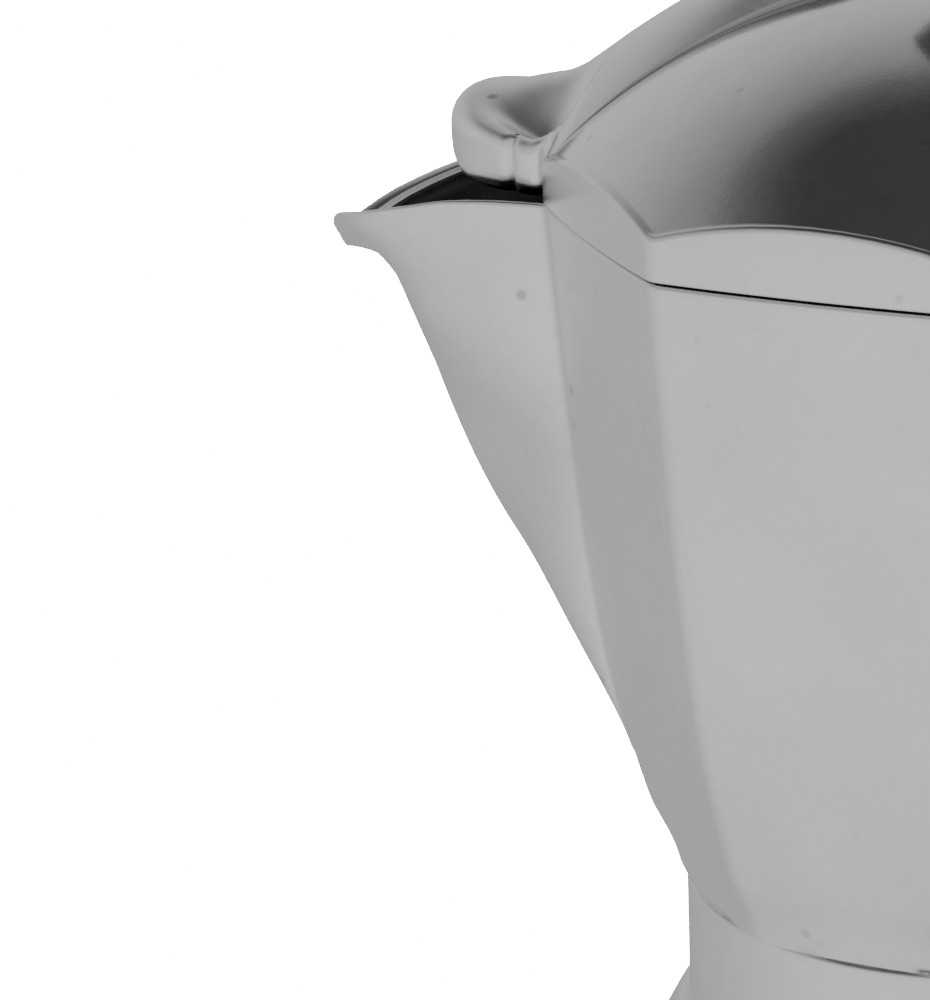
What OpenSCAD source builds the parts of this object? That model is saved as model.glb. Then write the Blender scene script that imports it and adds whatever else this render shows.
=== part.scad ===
// Octagonal stovetop coffee maker (moka pot), six-cup size.
// Millimetres, +Z up, origin on the pot's axis at the middle of the flat base.
// The spout points along -X and the handle along +X.

/* [Boiler] */
// Height of the boiler from the base to its shoulder
boiler_h = 70; // [50:1:110]
// Radius of the boiler's corners at the foot
foot_r = 54.5; // [48:0.5:75]
// Radius of the boiler's corners just under the shoulder
shoulder_r = 46; // [42:0.5:60]
// Wall thickness of the boiler
boiler_wall = 3; // [2:0.1:5]
// Thickness of the boiler's base
base_t = 3; // [2:0.1:6]
// Radius of the threaded neck
neck_r = 34; // [30:0.5:40]
// Height of the threaded neck above the shoulder
neck_h = 14; // [10:0.5:20]
// Wall thickness of the threaded neck at the boiler's mouth
neck_wall = 4.2; // [3:0.1:8]

/* [Collector] */
// Height of the collector from the waist to the rim
collector_h = 83; // [60:1:120]
// Radius of the collector's corners at the rim
rim_r = 53; // [44:0.5:66]
// Outer radius of the round collar
collar_r = 37.5; // [36:0.5:46]
// Height of the collar that shows
collar_h = 16; // [12:0.5:22]
// Wall thickness of the collector
collector_wall = 2.4; // [1.6:0.1:4]
// Thickness of the collector's floor
floor_t = 3.4; // [2.5:0.1:5]
// Outward bow of each flat side
side_bow = 0.9; // [0:0.1:2]
// Rounding of the vertical corners
corner_r = 5; // [2:0.5:10]

/* [Spout] */
// How far the tip reaches from the pot's axis
spout_reach = 90; // [80:1:110]
// How far the tip dips below the rim
spout_dip = 11.4; // [0:0.2:16]
// Thickness of the lip at the tip
lip_t = 2.2; // [1.5:0.1:4]

/* [Lid] */
// Radius of the lid's spherical dome
dome_r = 73; // [65:1:100]
// Height of the dome's top above the rim
dome_h = 27.8; // [22:0.2:36]
// Height of the front hood's crest above the dome
hood_h = 5.2; // [3:0.1:8]
// How far the nose over the spout reaches from the pot's axis
nose_reach = 70.8; // [66:0.1:80]
// Half width of the nose where it leaves the lid
nose_half_w = 16.6; // [14:0.1:17]
// Wall thickness of the lid
lid_wall = 2.2; // [1.6:0.1:3.5]
// Gap between the lid and the collector's rim
lid_gap = 0.3; // [0.1:0.05:0.8]

/* [Knob] */
// Height of the knob
knob_h = 24; // [18:1:32]
// Largest radius of the knob
knob_r = 12.5; // [10:0.5:16]
// Radius of the knob's foot
knob_foot_r = 7.5; // [6:0.5:10]

/* [Handle] */
// How far the grip's outer face is from the pot's axis
handle_reach = 106; // [98:1:125]
// Width of the handle
handle_w = 17; // [15:1:24]
// Thickness of the grip
grip_t = 13; // [11:1:18]
// Height of the grip's lower end above the base
grip_low_z = 82; // [60:1:100]

/* [Coffee parts] */
// Depth of the funnel's cup
cup_depth = 24; // [18:1:32]
// Wall thickness of the funnel
funnel_wall = 1; // [0.6:0.1:2]
// Outer radius of the funnel's stem
stem_r = 5.5; // [4:0.5:8]
// Gap between the end of the stem and the boiler's base
stem_gap = 6; // [3:1:12]
// Thickness of the gasket
gasket_t = 3; // [2:0.1:4]
// Width of the gasket's ring
gasket_w = 7; // [4:0.5:9]
// Thickness of the filter plate and of the funnel's sieve
plate_t = 1; // [0.6:0.1:2]
// Radius of the holes in the plates
hole_r = 0.55; // [0.4:0.05:0.8]
// Height of the riser column above the chamber's floor
riser_h = 58; // [45:1:80]
// Bore radius of the riser column
riser_bore_r = 3.6; // [2.5:0.1:5]

/* [Safety valve] */
// Height of the valve's axis above the base
valve_z = 46; // [30:1:60]
// Size of the valve's hexagon across its flats
valve_af = 14; // [12:1:19]
// Radius of the valve's threaded shank
valve_shank_r = 4.4; // [4:0.1:6]
// Travel of the valve's pin when it opens
valve_travel = 1.2; // [0.8:0.1:2]

/* [Fits] */
// Radial clearance between the collar and the neck
thread_fit = 0.06; // [0.03:0.01:0.1]
// Radial clearance of pins and shafts in their holes
pin_fit = 0.05; // [0.02:0.01:0.1]
// Gap between parts that pass each other
slip = 0.3; // [0.2:0.05:0.6]

/* [Hidden] */
$fn = 96;
tiny = 0.01;

// Heights of the main planes.
neck_top = boiler_h + neck_h;
mouth_r = neck_r - neck_wall;
gasket_in_r = neck_r - gasket_w;
collar_z = boiler_h + 0.4;
waist_z = collar_z + collar_h;
rim_z = waist_z + collector_h;
flange_t = 0.8;
gasket_z = neck_top + flange_t;
plate_z = gasket_z + gasket_t;
floor_z = plate_z + plate_t + 1.6;
chamber_z = floor_z + floor_t;

// Eight corners, the first half a side round from the spout.
half = 22.5;
apothem = cos(half);
dome_z = rim_z + dome_h - dome_r;
lid_r = rim_r + 0.3;

// ---------- shared shape functions ----------

function mix(a, b, t) = a + (b - a) * t;
function ease(t) = let (u = min(max(t, 0), 1)) u * u * (3 - 2 * u);
function dir(a) = [cos(a), sin(a)];
function bezier(a, b, c, t) = a * (1 - t) * (1 - t) + b * 2 * t * (1 - t) + c * t * t;

// One ring of a rounded octagon whose sides bow out a little, and which turns
// into a circle as round goes from 0 to 1. The ring is mirrored about the X axis.
corner_steps = [-half, -half / 3, half / 3, half];
side_steps = [0.25, 0.5, 0.75];
function corner_pts(r, f, a) = [for (s = corner_steps) dir(a) * (r - f / apothem) + dir(a + s) * f];
function side_pts(r, f, bow, a) = let (
        p = dir(a) * (r - f / apothem) + dir(a + half) * f,
        q = dir(a + 2 * half) * (r - f / apothem) + dir(a + half) * f)
    [for (s = side_steps) mix(p, q, s) + dir(a + half) * bow * 4 * s * (1 - s)];
function half_ring(r, f, bow) = [for (k = [0:3]) let (a = half + 2 * half * k)
    each concat(corner_pts(r, f, a), k < 3 ? side_pts(r, f, bow, a) : [])];
function octagon(r, f, bow) = let (h = half_ring(r, f, bow),
        front = side_pts(r, f, bow, 180 - half), back = side_pts(r, f, bow, -half))
    concat([back[2]], h, front, [for (i = [len(h) - 1:-1:0]) [h[i][0], -h[i][1]]], [back[0], back[1]]);
function rounded(pts, r, round) = [for (p = pts) mix(p, p / norm(p) * r, round)];
function ring(pts, z) = [for (p = pts) [p[0], p[1], z]];

// A closed solid through rings of equal length, lowest first, each running
// anticlockwise seen from above. Caps are fans about the ring's middle.
module loft(rings) {
    n = len(rings[0]);
    m = len(rings);
    mid = function (r) [for (k = [0:2]) [for (p = r) 1] * [for (p = r) p[k]] / n];
    points = concat([for (r = rings) each r], [mid(rings[0]), mid(rings[m - 1])]);
    sides = [for (j = [0:m - 2], i = [0:n - 1]) let (a = j * n + i, b = j * n + (i + 1) % n)
        each [[a, a + n, b], [b, a + n, b + n]]];
    low = [for (i = [0:n - 1]) [m * n, i, (i + 1) % n]];
    high = [for (i = [0:n - 1]) [m * n + 1, (m - 1) * n + (i + 1) % n, (m - 1) * n + i]];
    polyhedron(points, concat(sides, low, high));
}

// A closed solid through open strips of equal length, each mirrored about the
// X axis, so that the caps can follow a rim that rises and falls.
module strip_loft(rings) {
    n = len(rings[0]);
    m = len(rings);
    points = [for (r = rings) each r];
    sides = [for (j = [0:m - 2], i = [0:n - 1]) let (a = j * n + i, b = j * n + (i + 1) % n)
        each [[a, a + n, b], [b, a + n, b + n]]];
    low = [for (i = [0:n / 2 - 2]) let (a = i, b = i + 1, c = n - 2 - i, d = n - 1 - i)
        each [[a, b, c], [a, c, d]]];
    top = (m - 1) * n;
    high = [for (f = low) [top + f[0], top + f[2], top + f[1]]];
    polyhedron(points, concat(sides, low, high));
}

module tube(z0, z1, r_out, r_in) {
    rotate_extrude() translate([r_in, z0]) square([r_out - r_in, z1 - z0]);
}

module along_y(y, x, z) {
    translate([x, y, z]) rotate([-90, 0, 0]) children();
}

// ---------- boiler ----------

function boiler_r(z) = z < 4 ? mix(foot_r - 2, foot_r, ease(z / 4))
    : z < boiler_h - 14 ? mix(foot_r, shoulder_r, (z - 4) / (boiler_h - 18))
    : let (t = (z - boiler_h + 14) / 14)
        bezier(shoulder_r, shoulder_r - 2.4, neck_r + 4.2, t);
boiler_levels = concat([0, 1, 2.5, 4], [for (t = [0.25:0.25:1]) mix(4, boiler_h - 14, t)],
    [for (t = [0.2:0.2:1]) mix(boiler_h - 14, boiler_h, t)]);
valve_face_y = boiler_r(valve_z) * apothem + 1.8;

module boiler_outside() {
    loft([for (z = boiler_levels) let (r = boiler_r(z), round = ease((z - boiler_h + 10) / 10))
        ring(rounded(octagon(r, corner_r, 0), r, round), z)]);
    cylinder(h = neck_top, r = neck_r);
    along_y(-valve_face_y, 0, valve_z) cylinder(h = valve_face_y - foot_r + 20, r = valve_af / 2 + 1);
}

module boiler_cavity() {
    foot = foot_r * apothem - boiler_wall;
    top = shoulder_r * apothem - boiler_wall;
    rotate_extrude() polygon([[0, base_t], [foot - 4, base_t], [foot, base_t + 4],
        [top, boiler_h - 16], [mouth_r, boiler_h - 6], [mouth_r, neck_top + 1], [0, neck_top + 1]]);
}

module boiler() {
    color("silver") difference() {
        boiler_outside();
        boiler_cavity();
        along_y(-valve_face_y - 1, 0, valve_z) cylinder(h = 20, r = valve_shank_r + pin_fit);
    }
}

// ---------- safety valve, its axis along -Y ----------

washer_t = 0.6;
hex_t = 6;
seat_y = valve_face_y - 6.4;
valve_out_y = valve_face_y + washer_t + hex_t;
chamber_r = 3.1;
orifice_r = 1.5;
pin_r = 1.1;
seal_t = 0.8;
disc_t = 1.2;
cap_t = 1;
spring_wire = 0.5;
spring_in = seat_y + 1.2 + seal_t + disc_t;
spring_out = valve_out_y - cap_t;
spring_turns = 5;

module valve_turned(y0, y1, r) {
    along_y(-y1, 0, valve_z) cylinder(h = y1 - y0, r = r);
}

module valve_body() {
    color("goldenrod") difference() {
        union() {
            along_y(-valve_out_y, 0, valve_z)
                cylinder(h = hex_t, r = valve_af / 2 / cos(30), $fn = 6);
            valve_turned(seat_y, valve_out_y - hex_t + tiny, valve_shank_r);
        }
        valve_turned(seat_y - 1, valve_out_y + 1, orifice_r);
        valve_turned(seat_y + 1.2, valve_out_y + 1, chamber_r);
    }
}

module valve_washer() {
    color("firebrick") difference() {
        valve_turned(valve_face_y, valve_face_y + washer_t, valve_af / 2 + 0.4);
        valve_turned(valve_face_y - 1, valve_face_y + washer_t + 1, valve_shank_r + pin_fit);
    }
}

module valve_seal() {
    color("dimgray") difference() {
        valve_turned(seat_y + 1.2, seat_y + 1.2 + seal_t, chamber_r - slip);
        valve_turned(seat_y, seat_y + 4, pin_r / 2 + pin_fit);
    }
}

module valve_poppet() {
    color("goldenrod") {
        valve_turned(seat_y + 1.2 + seal_t, spring_in, chamber_r - slip);
        valve_turned(seat_y + 1.4, spring_in, pin_r / 2);
        valve_turned(seat_y + 1.2 + seal_t, valve_out_y + 0.4 + valve_travel, pin_r);
    }
}

// Rings stand in for the coils, joined by a thin seam so that the spring is one piece.
module valve_spring() {
    gap = (spring_out - spring_in - 2 * spring_wire) / spring_turns;
    color("gray") {
        for (k = [0:spring_turns]) along_y(-spring_in - spring_wire - k * gap, 0, valve_z)
            rotate_extrude() translate([chamber_r - 1, 0]) circle(r = spring_wire, $fn = 24);
        translate([chamber_r - 1.1, -spring_out + spring_wire, valve_z])
            rotate([-90, 0, 0]) cylinder(h = spring_out - spring_in - 2 * spring_wire, r = 0.2, $fn = 16);
    }
}

module valve_cap() {
    color("goldenrod") difference() {
        valve_turned(valve_out_y - cap_t, valve_out_y + 0.4, chamber_r - tiny);
        valve_turned(valve_out_y - cap_t - 1, valve_out_y + 2, pin_r + pin_fit);
    }
}

// ---------- funnel, sieve, gasket and filter plate ----------

cup_r = mouth_r - slip;
cup_floor = neck_top - cup_depth;
stem_low = base_t + stem_gap;

module funnel() {
    in_r = cup_r - funnel_wall;
    t = funnel_wall;
    color("gainsboro") rotate_extrude() polygon([[stem_r - t, stem_low], [stem_r, stem_low],
        [stem_r, cup_floor - 8], [stem_r + 3, cup_floor - 4 - t], [cup_r, cup_floor - t],
        [cup_r, neck_top], [neck_r - 1.5, neck_top], [neck_r - 1.5, gasket_z], [in_r, gasket_z],
        [in_r, cup_floor], [in_r - 1, cup_floor], [stem_r + 3, cup_floor - 4], [stem_r - t, cup_floor - 8]]);
}

module holes(rings, pitch, z, t) {
    for (k = [0:rings]) for (i = [0:max(k * 6 - 1, 0)])
        rotate([0, 0, i * 360 / max(k * 6, 1)]) translate([k * pitch, 0, z - 1])
            cylinder(h = t + 2, r = hole_r, $fn = 16);
}

module funnel_sieve() {
    color("silver") difference() {
        translate([0, 0, cup_floor]) cylinder(h = plate_t, r = cup_r - funnel_wall - 0.05);
        holes(4, 5.5, cup_floor, plate_t);
    }
}

module gasket() {
    color("ivory") tube(gasket_z, plate_z, neck_r - 0.15, gasket_in_r);
}

plate_r = neck_r - 3;
module filter_plate() {
    color("silver") difference() {
        translate([0, 0, plate_z]) cylinder(h = plate_t, r = plate_r);
        holes(4, 5.5, plate_z, plate_t);
    }
}

// ---------- collector ----------

// Corner radius at a share t of the way from the rim down to the waist: a gentle
// taper that tucks in near the waist.
function collector_r(t) = mix(rim_r, collar_r + 1.6, 0.5 * t) - (0.5 * (rim_r - collar_r - 1.6)) * pow(t, 4.2);
collector_rows = [0, 0.03, 0.08, 0.16, 0.24, 0.32, 0.4, 0.48, 0.56, 0.64, 0.72, 0.8, 0.86, 0.92, 0.96, 1];
function collector_ring(t, inset) = let (r = collector_r(t) - inset / apothem,
        round = 0.4 * ease((t - 0.9) / 0.1))
    ring(rounded(octagon(r, max(corner_r - inset, 1.5), side_bow * (1 - 0.6 * t)),
        collar_r + 0.3 - inset, round), rim_z - t * collector_h);

module collector_shape(inset, up) {
    rows = [for (i = [len(collector_rows) - 1:-1:0]) collector_ring(collector_rows[i], inset)];
    top = rows[len(rows) - 1];
    loft(up > 0 ? concat(rows, [[for (p = top) p + [0, 0, up]]]) : rows);
}

// The spout leaves the front side. At each level a plan curve runs from the
// corner of the side to the keel, and the rim dips towards the tip.
spout_steps = [0, 0.12, 0.25, 0.38, 0.5, 0.62, 0.73, 0.83, 0.91, 0.97, 0.995];
spout_rows = [0, 0.02, 0.05, 0.09, 0.14, 0.2, 0.3, 0.42, 0.55, 0.68, 0.82, 1];
spout_deep = 0.83;
lip_row = 0.14;
function spout_depth(inset) = spout_deep - 1.6 * inset / collector_h;
function keel(u, inset) = let (
        deep = spout_depth(inset),
        tip = [-spout_reach, -spout_dip],
        under = tip + [1, -lip_t],
        root = [-spout_reach + 9.4, -spout_dip - 5.3],
        foot = [-collector_r(deep) * apothem - 0.3, -deep * collector_h],
        flare = u < 0.03 ? mix(tip, under, u / 0.03)
            : bezier(under, under + [6, 0.2], root, (u - 0.03) / (lip_row - 0.03)),
        s = max(u - lip_row, 0) / (1 - lip_row),
        run = [mix(root[0], foot[0], 0.5 * s + 0.5 * pow(s, 3.7)), mix(root[1], foot[1], s)])
    (u < lip_row ? flare : run) + [inset * 1.15, 0];
function spout_half_w(s, full, fat) = full * (1 - pow(s, fat)) + full * 0.36 * s * (1 - s) * (fat - 1.3) / 2.7;
function spout_row(u, inset, up) = let (
        t = u * spout_depth(inset),
        body_r = collector_r(t),
        x0 = -body_r * apothem + inset * 1.15,
        full = body_r * sin(half) - mix(0.4, corner_r * 0.42, u * u) - inset,
        k = keel(u, inset),
        fat = mix(4, 1.3, ease(u / 0.55)) + 0.7 * ease((u - 0.5) / 0.4),
        level = -t * collector_h,
        near = [for (s = spout_steps) let (x = mix(x0, k[0], s),
            z = mix(level, k[1], pow(s, 2.6)) + up) [x, spout_half_w(s, full, fat), rim_z + z]],
        inner = [x0 * 0.55, full, rim_z + level + up])
    concat([inner], near, [for (i = [len(near) - 1:-1:0]) [near[i][0], -near[i][1], near[i][2]]],
        [[inner[0], -full, inner[2]]]);

module spout_shape(inset, up) {
    rows = [for (i = [len(spout_rows) - 1:-1:0]) spout_row(spout_rows[i], inset, 0)];
    strip_loft(up > 0 ? concat(rows, [spout_row(0, inset, up)]) : rows);
}

hinge_x = rim_r * apothem + 6.6;
hinge_z = rim_z + 3.6;
hinge_pin_r = 1.5;
knuckle_w = 11;
ear_w = 3.5;
ear_r = 3.4;
tongue_len = 19;
tongue_w = 9;
tongue_t = 7;
tongue_z = rim_z - 16;
bracket_x = lid_r * apothem + side_bow + 0.6;
bracket_out = rim_r * apothem + 6;

module hinge_ears() {
    for (side = [-1, 1]) hull() {
        along_y(side * (knuckle_w / 2 + slip + ear_w / 2) - ear_w / 2, hinge_x, hinge_z)
            cylinder(h = ear_w, r = ear_r);
        translate([bracket_x, side * (knuckle_w / 2 + slip + ear_w / 2) - ear_w / 2, tongue_z])
            cube([bracket_out - bracket_x, ear_w, tongue_t + 5]);
    }
}

module tongue() {
    translate([rim_r * apothem - 3, -tongue_w / 2, tongue_z])
        cube([tongue_len + 3, tongue_w, tongue_t]);
    translate([rim_r * apothem - 3, -knuckle_w / 2 - slip - ear_w, tongue_z])
        cube([bracket_out - rim_r * apothem + 3, knuckle_w + 2 * slip + 2 * ear_w, tongue_t + 5]);
}

module collector() {
    color("silver") difference() {
        union() {
            collector_shape(0, 0);
            spout_shape(0, 0);
            translate([0, 0, collar_z]) cylinder(h = collar_h + 3, r = collar_r);
            hinge_ears();
            tongue();
        }
        difference() {
            union() {
                collector_shape(collector_wall, 10);
                spout_shape(collector_wall, 10);
            }
            cylinder(h = chamber_z, r = rim_r * 2);
        }
        translate([0, 0, collar_z - 1]) cylinder(h = plate_z + 0.05 - collar_z + 1, r = neck_r + thread_fit);
        translate([0, 0, plate_z]) cylinder(h = plate_t + 0.05, r = plate_r + 0.1);
        translate([0, 0, plate_z]) cylinder(h = floor_z - plate_z, r = plate_r - 2.5);
        cylinder(h = chamber_z + 5, r = riser_foot_r);
        along_y(-20, hinge_x, hinge_z) cylinder(h = 40, r = hinge_pin_r);
        translate([screw_x, 0, tongue_z - 1]) cylinder(h = tongue_t + 2, r = screw_r);
    }
}

riser_foot_r = 9;
module riser_column() {
    top = chamber_z + riser_h;
    color("silver") difference() {
        union() {
            rotate_extrude() polygon([[0, floor_z], [riser_foot_r, floor_z], [riser_foot_r, chamber_z],
                [riser_foot_r - 1.2, chamber_z + 2], [riser_bore_r + 2.6, top - 4],
                [riser_bore_r + 1.6, top - 1], [0, top + 1.2]]);
        }
        translate([0, 0, floor_z - 1]) cylinder(h = floor_t + riser_h - 2, r = riser_bore_r);
        for (a = [0, 180]) rotate([0, 0, a + 90]) translate([0, -1.6, top - 9])
            cube([12, 3.2, 6]);
    }
}

// ---------- lid ----------

function dome(r) = dome_z + sqrt(dome_r * dome_r - r * r) - rim_z;
nose_root = rim_r * apothem;
nose_len = nose_reach - nose_root;

// Crest line of the hood, from the knob to the tip of the nose.
crest_saddle = 11.2;
crest_front = 9.2;
function crest(x) = x < nose_root + 6
    ? dome(min(x, nose_root)) + hood_h * ease(x / 26) + (x > nose_root ? (x - nose_root) * -0.62 : 0)
    : mix(crest_saddle, crest_front, ease((x - nose_root - 6) / 14));
function nose_w(x) = x < nose_root ? x * tan(half)
    : nose_half_w * sqrt(max(1 - pow((x - nose_root) / nose_len, 2), 0)) + 0.02;
function nose_drop(x) = let (u = max((x - nose_reach + 4.5) / 4.5, 0)) 5.6 * (1 - sqrt(max(1 - u * u, 0)));
function hood_top(x, v) = let (
        edge = dome(min(x / apothem, rim_r)) + 1.2 * (1 - x / nose_root),
        arch = edge + (crest(x) - edge) * pow(1 - v * v, 0.9),
        brim = 5.2 + 3.2 * ease((x - nose_root - 8) / 12),
        trough = 3.2 + 4.6 * ease((x - nose_root - 12) / 9),
        a = abs(v),
        cup = a < 0.72 ? trough + (crest(x) - nose_drop(x) - trough) * pow(cos(a / 0.72 * 90), 1.5)
            : mix(trough, brim, sin((a - 0.72) / 0.2 * 90)),
        lip = a > 0.92 ? brim - 2.4 * pow((a - 0.92) / 0.08, 2) : cup)
    mix(arch, min(lip, crest(x) - nose_drop(x)), ease((x - nose_root + 1) / 7));

hood_xs = concat([for (x = [10:5:nose_root - 4]) x], [nose_root - 2, nose_root, nose_root + 2,
    nose_root + 4], [for (k = [0.27:0.09:0.9]) nose_root + nose_len * k],
    [for (k = [0.94, 0.97, 0.99, 1]) nose_root + nose_len * k]);
hood_vs = [0, 0.15, 0.3, 0.45, 0.58, 0.72, 0.8, 0.87, 0.92, 0.96, 1];
function hood_line(x, low, inset) = let (w = max(nose_w(x) - inset, 0.02),
        top = [for (v = hood_vs) [-x, v * w, rim_z + max(hood_top(x, v) - inset * 1.4, low + tiny)]],
        flip = [for (i = [len(top) - 1:-1:0]) [top[i][0], -top[i][1], top[i][2]]])
    concat([for (p = flip) p], [for (i = [1:len(top) - 1]) top[i]]);

// A solid under the hood's surface. Its underside lies at low above the rim,
// and at dip over the spout, where it drops between the spout's walls.
module hood_shape(low, dip, inset, xs) {
    rows = [for (x = xs) let (z = x > nose_root + 1 ? dip : low, line = hood_line(x, z, inset))
        concat(line, [for (i = [len(line) - 1:-1:0]) [line[i][0], line[i][1], rim_z + z]])];
    n = len(rows[0]);
    m = len(rows);
    points = [for (r = rows) each r];
    sides = [for (j = [0:m - 2], i = [0:n - 1]) let (a = j * n + i, b = j * n + (i + 1) % n)
        each [[a, a + n, b], [b, a + n, b + n]]];
    back = [for (i = [0:n / 2 - 2]) each [[i, n - 2 - i, n - 1 - i], [i, i + 1, n - 2 - i]]];
    front = [for (f = back) [for (k = [0, 2, 1]) (m - 1) * n + f[k]]];
    polyhedron(points, concat(sides, back, front));
}

module lid_block(inset, low) {
    intersection() {
        loft([for (z = [low, dome_h + 4]) ring(octagon(lid_r - inset / apothem, corner_r, side_bow), rim_z + z)]);
        translate([0, 0, dome_z]) sphere(r = dome_r - inset, $fn = 180);
    }
}

nose_low = -0.8;
knob_z = rim_z + dome_h + 0.1;
screw_hole_r = 2.05;
knuckle_r = 3.2;

module lid() {
    color("silver") difference() {
        union() {
            lid_block(0, lid_gap);
            hood_shape(lid_gap, nose_low, 0, hood_xs);
            translate([0, 0, knob_z - 4]) cylinder(h = 4, r = knob_foot_r + 1.5);
            hull() {
                along_y(-knuckle_w / 2, hinge_x, hinge_z) cylinder(h = knuckle_w, r = knuckle_r);
                translate([rim_r * apothem - 4, -knuckle_w / 2, rim_z + lid_gap]) cube([3, knuckle_w, 6]);
            }
        }
        lid_block(lid_wall, lid_gap - 1);
        hood_shape(lid_gap - 2, nose_low - 2, lid_wall,
            [for (x = hood_xs) if (x >= 20 && x <= nose_reach - 4) x]);
        cylinder(h = 400, r = screw_hole_r);
        along_y(-20, hinge_x, hinge_z) cylinder(h = 40, r = hinge_pin_r + pin_fit);
    }
}

module hinge_pin() {
    w = knuckle_w + 2 * (slip + ear_w);
    color("gray") along_y(-w / 2 - 0.4, hinge_x, hinge_z) cylinder(h = w + 0.8, r = hinge_pin_r);
}

// ---------- knob ----------

insert_r = 3.2;
insert_h = 10;
screw_core_r = 2;

module knob() {
    color("#202020") difference() {
        translate([0, 0, knob_z]) rotate_extrude() polygon(concat([[0, 0], [knob_foot_r, 0]],
            [for (t = [0:0.1:1]) bezier([knob_foot_r, 1.5], [knob_foot_r - 1.5, knob_h * 0.45],
                [knob_r, knob_h * 0.72], t)],
            [for (a = [10:16:90]) [knob_r - 4 + 4 * cos(a), knob_h - 3.4 + 3.4 * sin(a)]],
            [[0, knob_h + 0.6]]));
        translate([0, 0, knob_z - 1]) cylinder(h = insert_h + 1, r = insert_r);
    }
}

module knob_insert() {
    color("goldenrod") tube(knob_z, knob_z + insert_h, insert_r, screw_core_r);
}

knob_washer_t = 0.8;
knob_under_z = knob_z - 4;
module knob_screw() {
    low = knob_under_z - knob_washer_t;
    color("gray") {
        translate([0, 0, low - 2]) cylinder(h = 2, r = 3.8);
        translate([0, 0, low - tiny]) cylinder(h = knob_z + insert_h - 1 - low, r = screw_core_r);
    }
}

module knob_washer() {
    color("silver") tube(knob_under_z - knob_washer_t, knob_under_z, 4.6, screw_hole_r);
}

// ---------- handle ----------

screw_r = 2;
screw_head_r = 3.6;
screw_x = rim_r * apothem + 13;
arm_z = tongue_z + tongue_t / 2;

module grip_slice(x, z, w, t) {
    translate([x, 0, z]) rotate([90, 0, 0]) cylinder(h = w - 2, r = t / 2, center = true, $fn = 32);
    translate([x, 0, z]) rotate([90, 0, 0]) cylinder(h = w, r = t / 2 - 1.2, center = true, $fn = 32);
}

module handle_blank() {
    root_x = bracket_out + slip + (tongue_t + 6) / 2;
    out_x = handle_reach - grip_t / 2;
    hull() {
        grip_slice(root_x, arm_z, handle_w, tongue_t + 6);
        grip_slice(out_x - 10, arm_z + 1, handle_w, grip_t + 1);
    }
    hull() {
        grip_slice(out_x - 10, arm_z + 1, handle_w, grip_t + 1);
        grip_slice(out_x, arm_z - 9, handle_w, grip_t);
    }
    hull() {
        grip_slice(out_x, arm_z - 9, handle_w, grip_t);
        grip_slice(out_x - 2, arm_z - 36, handle_w, grip_t);
    }
    hull() {
        grip_slice(out_x - 2, arm_z - 36, handle_w, grip_t);
        grip_slice(out_x - 10, grip_low_z + grip_t / 2, handle_w, grip_t - 2);
    }
}

module handle() {
    color("#202020") difference() {
        handle_blank();
        translate([0, -tongue_w / 2 - 0.05, tongue_z - 0.05])
            cube([rim_r * apothem + tongue_len + 0.1, tongue_w + 0.1, tongue_t + 0.1]);
        translate([screw_x, 0, tongue_z - 20]) cylinder(h = 21, r = screw_r + 0.1);
        translate([screw_x, 0, tongue_z - 20]) cylinder(h = 18.2, r = screw_head_r + 0.1);
    }
}

module handle_screw() {
    color("gray") {
        translate([screw_x, 0, tongue_z - 1.8 - 2]) cylinder(h = 2, r = screw_head_r);
        translate([screw_x, 0, tongue_z - 1.8 - tiny]) cylinder(h = tongue_t + 1.8, r = screw_r);
    }
}

boiler();
valve_body();
valve_washer();
valve_poppet();
valve_seal();
valve_spring();
valve_cap();
funnel();
funnel_sieve();
gasket();
filter_plate();
collector();
riser_column();
hinge_pin();
lid();
knob();
knob_insert();
knob_screw();
knob_washer();
handle();
handle_screw();
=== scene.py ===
"""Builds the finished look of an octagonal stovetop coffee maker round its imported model."""

import math

import bpy
import numpy as np
from mathutils import Matrix, Vector


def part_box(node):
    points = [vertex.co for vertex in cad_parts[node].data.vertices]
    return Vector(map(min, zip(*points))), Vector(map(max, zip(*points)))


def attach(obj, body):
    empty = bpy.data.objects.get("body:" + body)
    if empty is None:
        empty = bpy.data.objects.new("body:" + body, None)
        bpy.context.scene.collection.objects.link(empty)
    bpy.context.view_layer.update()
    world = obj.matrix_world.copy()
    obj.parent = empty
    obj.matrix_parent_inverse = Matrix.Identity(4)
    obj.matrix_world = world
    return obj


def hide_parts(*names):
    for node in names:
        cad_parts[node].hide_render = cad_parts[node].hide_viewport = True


bl_info = {
    "name": "Octagonal moka pot",
    "version": (1, 0, 0),
    "blender": (4, 5, 0),
    "location": "View3D > Sidebar > Moka pot",
    "description": "Cast and turned pieces of an octagonal stovetop coffee maker",
    "category": "Add Mesh",
}

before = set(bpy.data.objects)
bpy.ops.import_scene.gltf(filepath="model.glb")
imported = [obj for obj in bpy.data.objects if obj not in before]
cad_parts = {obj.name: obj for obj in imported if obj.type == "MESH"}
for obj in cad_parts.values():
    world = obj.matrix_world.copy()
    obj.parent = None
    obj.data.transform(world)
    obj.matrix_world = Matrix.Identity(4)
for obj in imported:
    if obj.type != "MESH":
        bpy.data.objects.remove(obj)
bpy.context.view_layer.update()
MM = 0.001


def cad_low(node):
    """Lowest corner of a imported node, in millimetres."""
    return np.array(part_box(node)[0]) / MM


def cad_high(node):
    """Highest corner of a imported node, in millimetres."""
    return np.array(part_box(node)[1]) / MM


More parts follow.
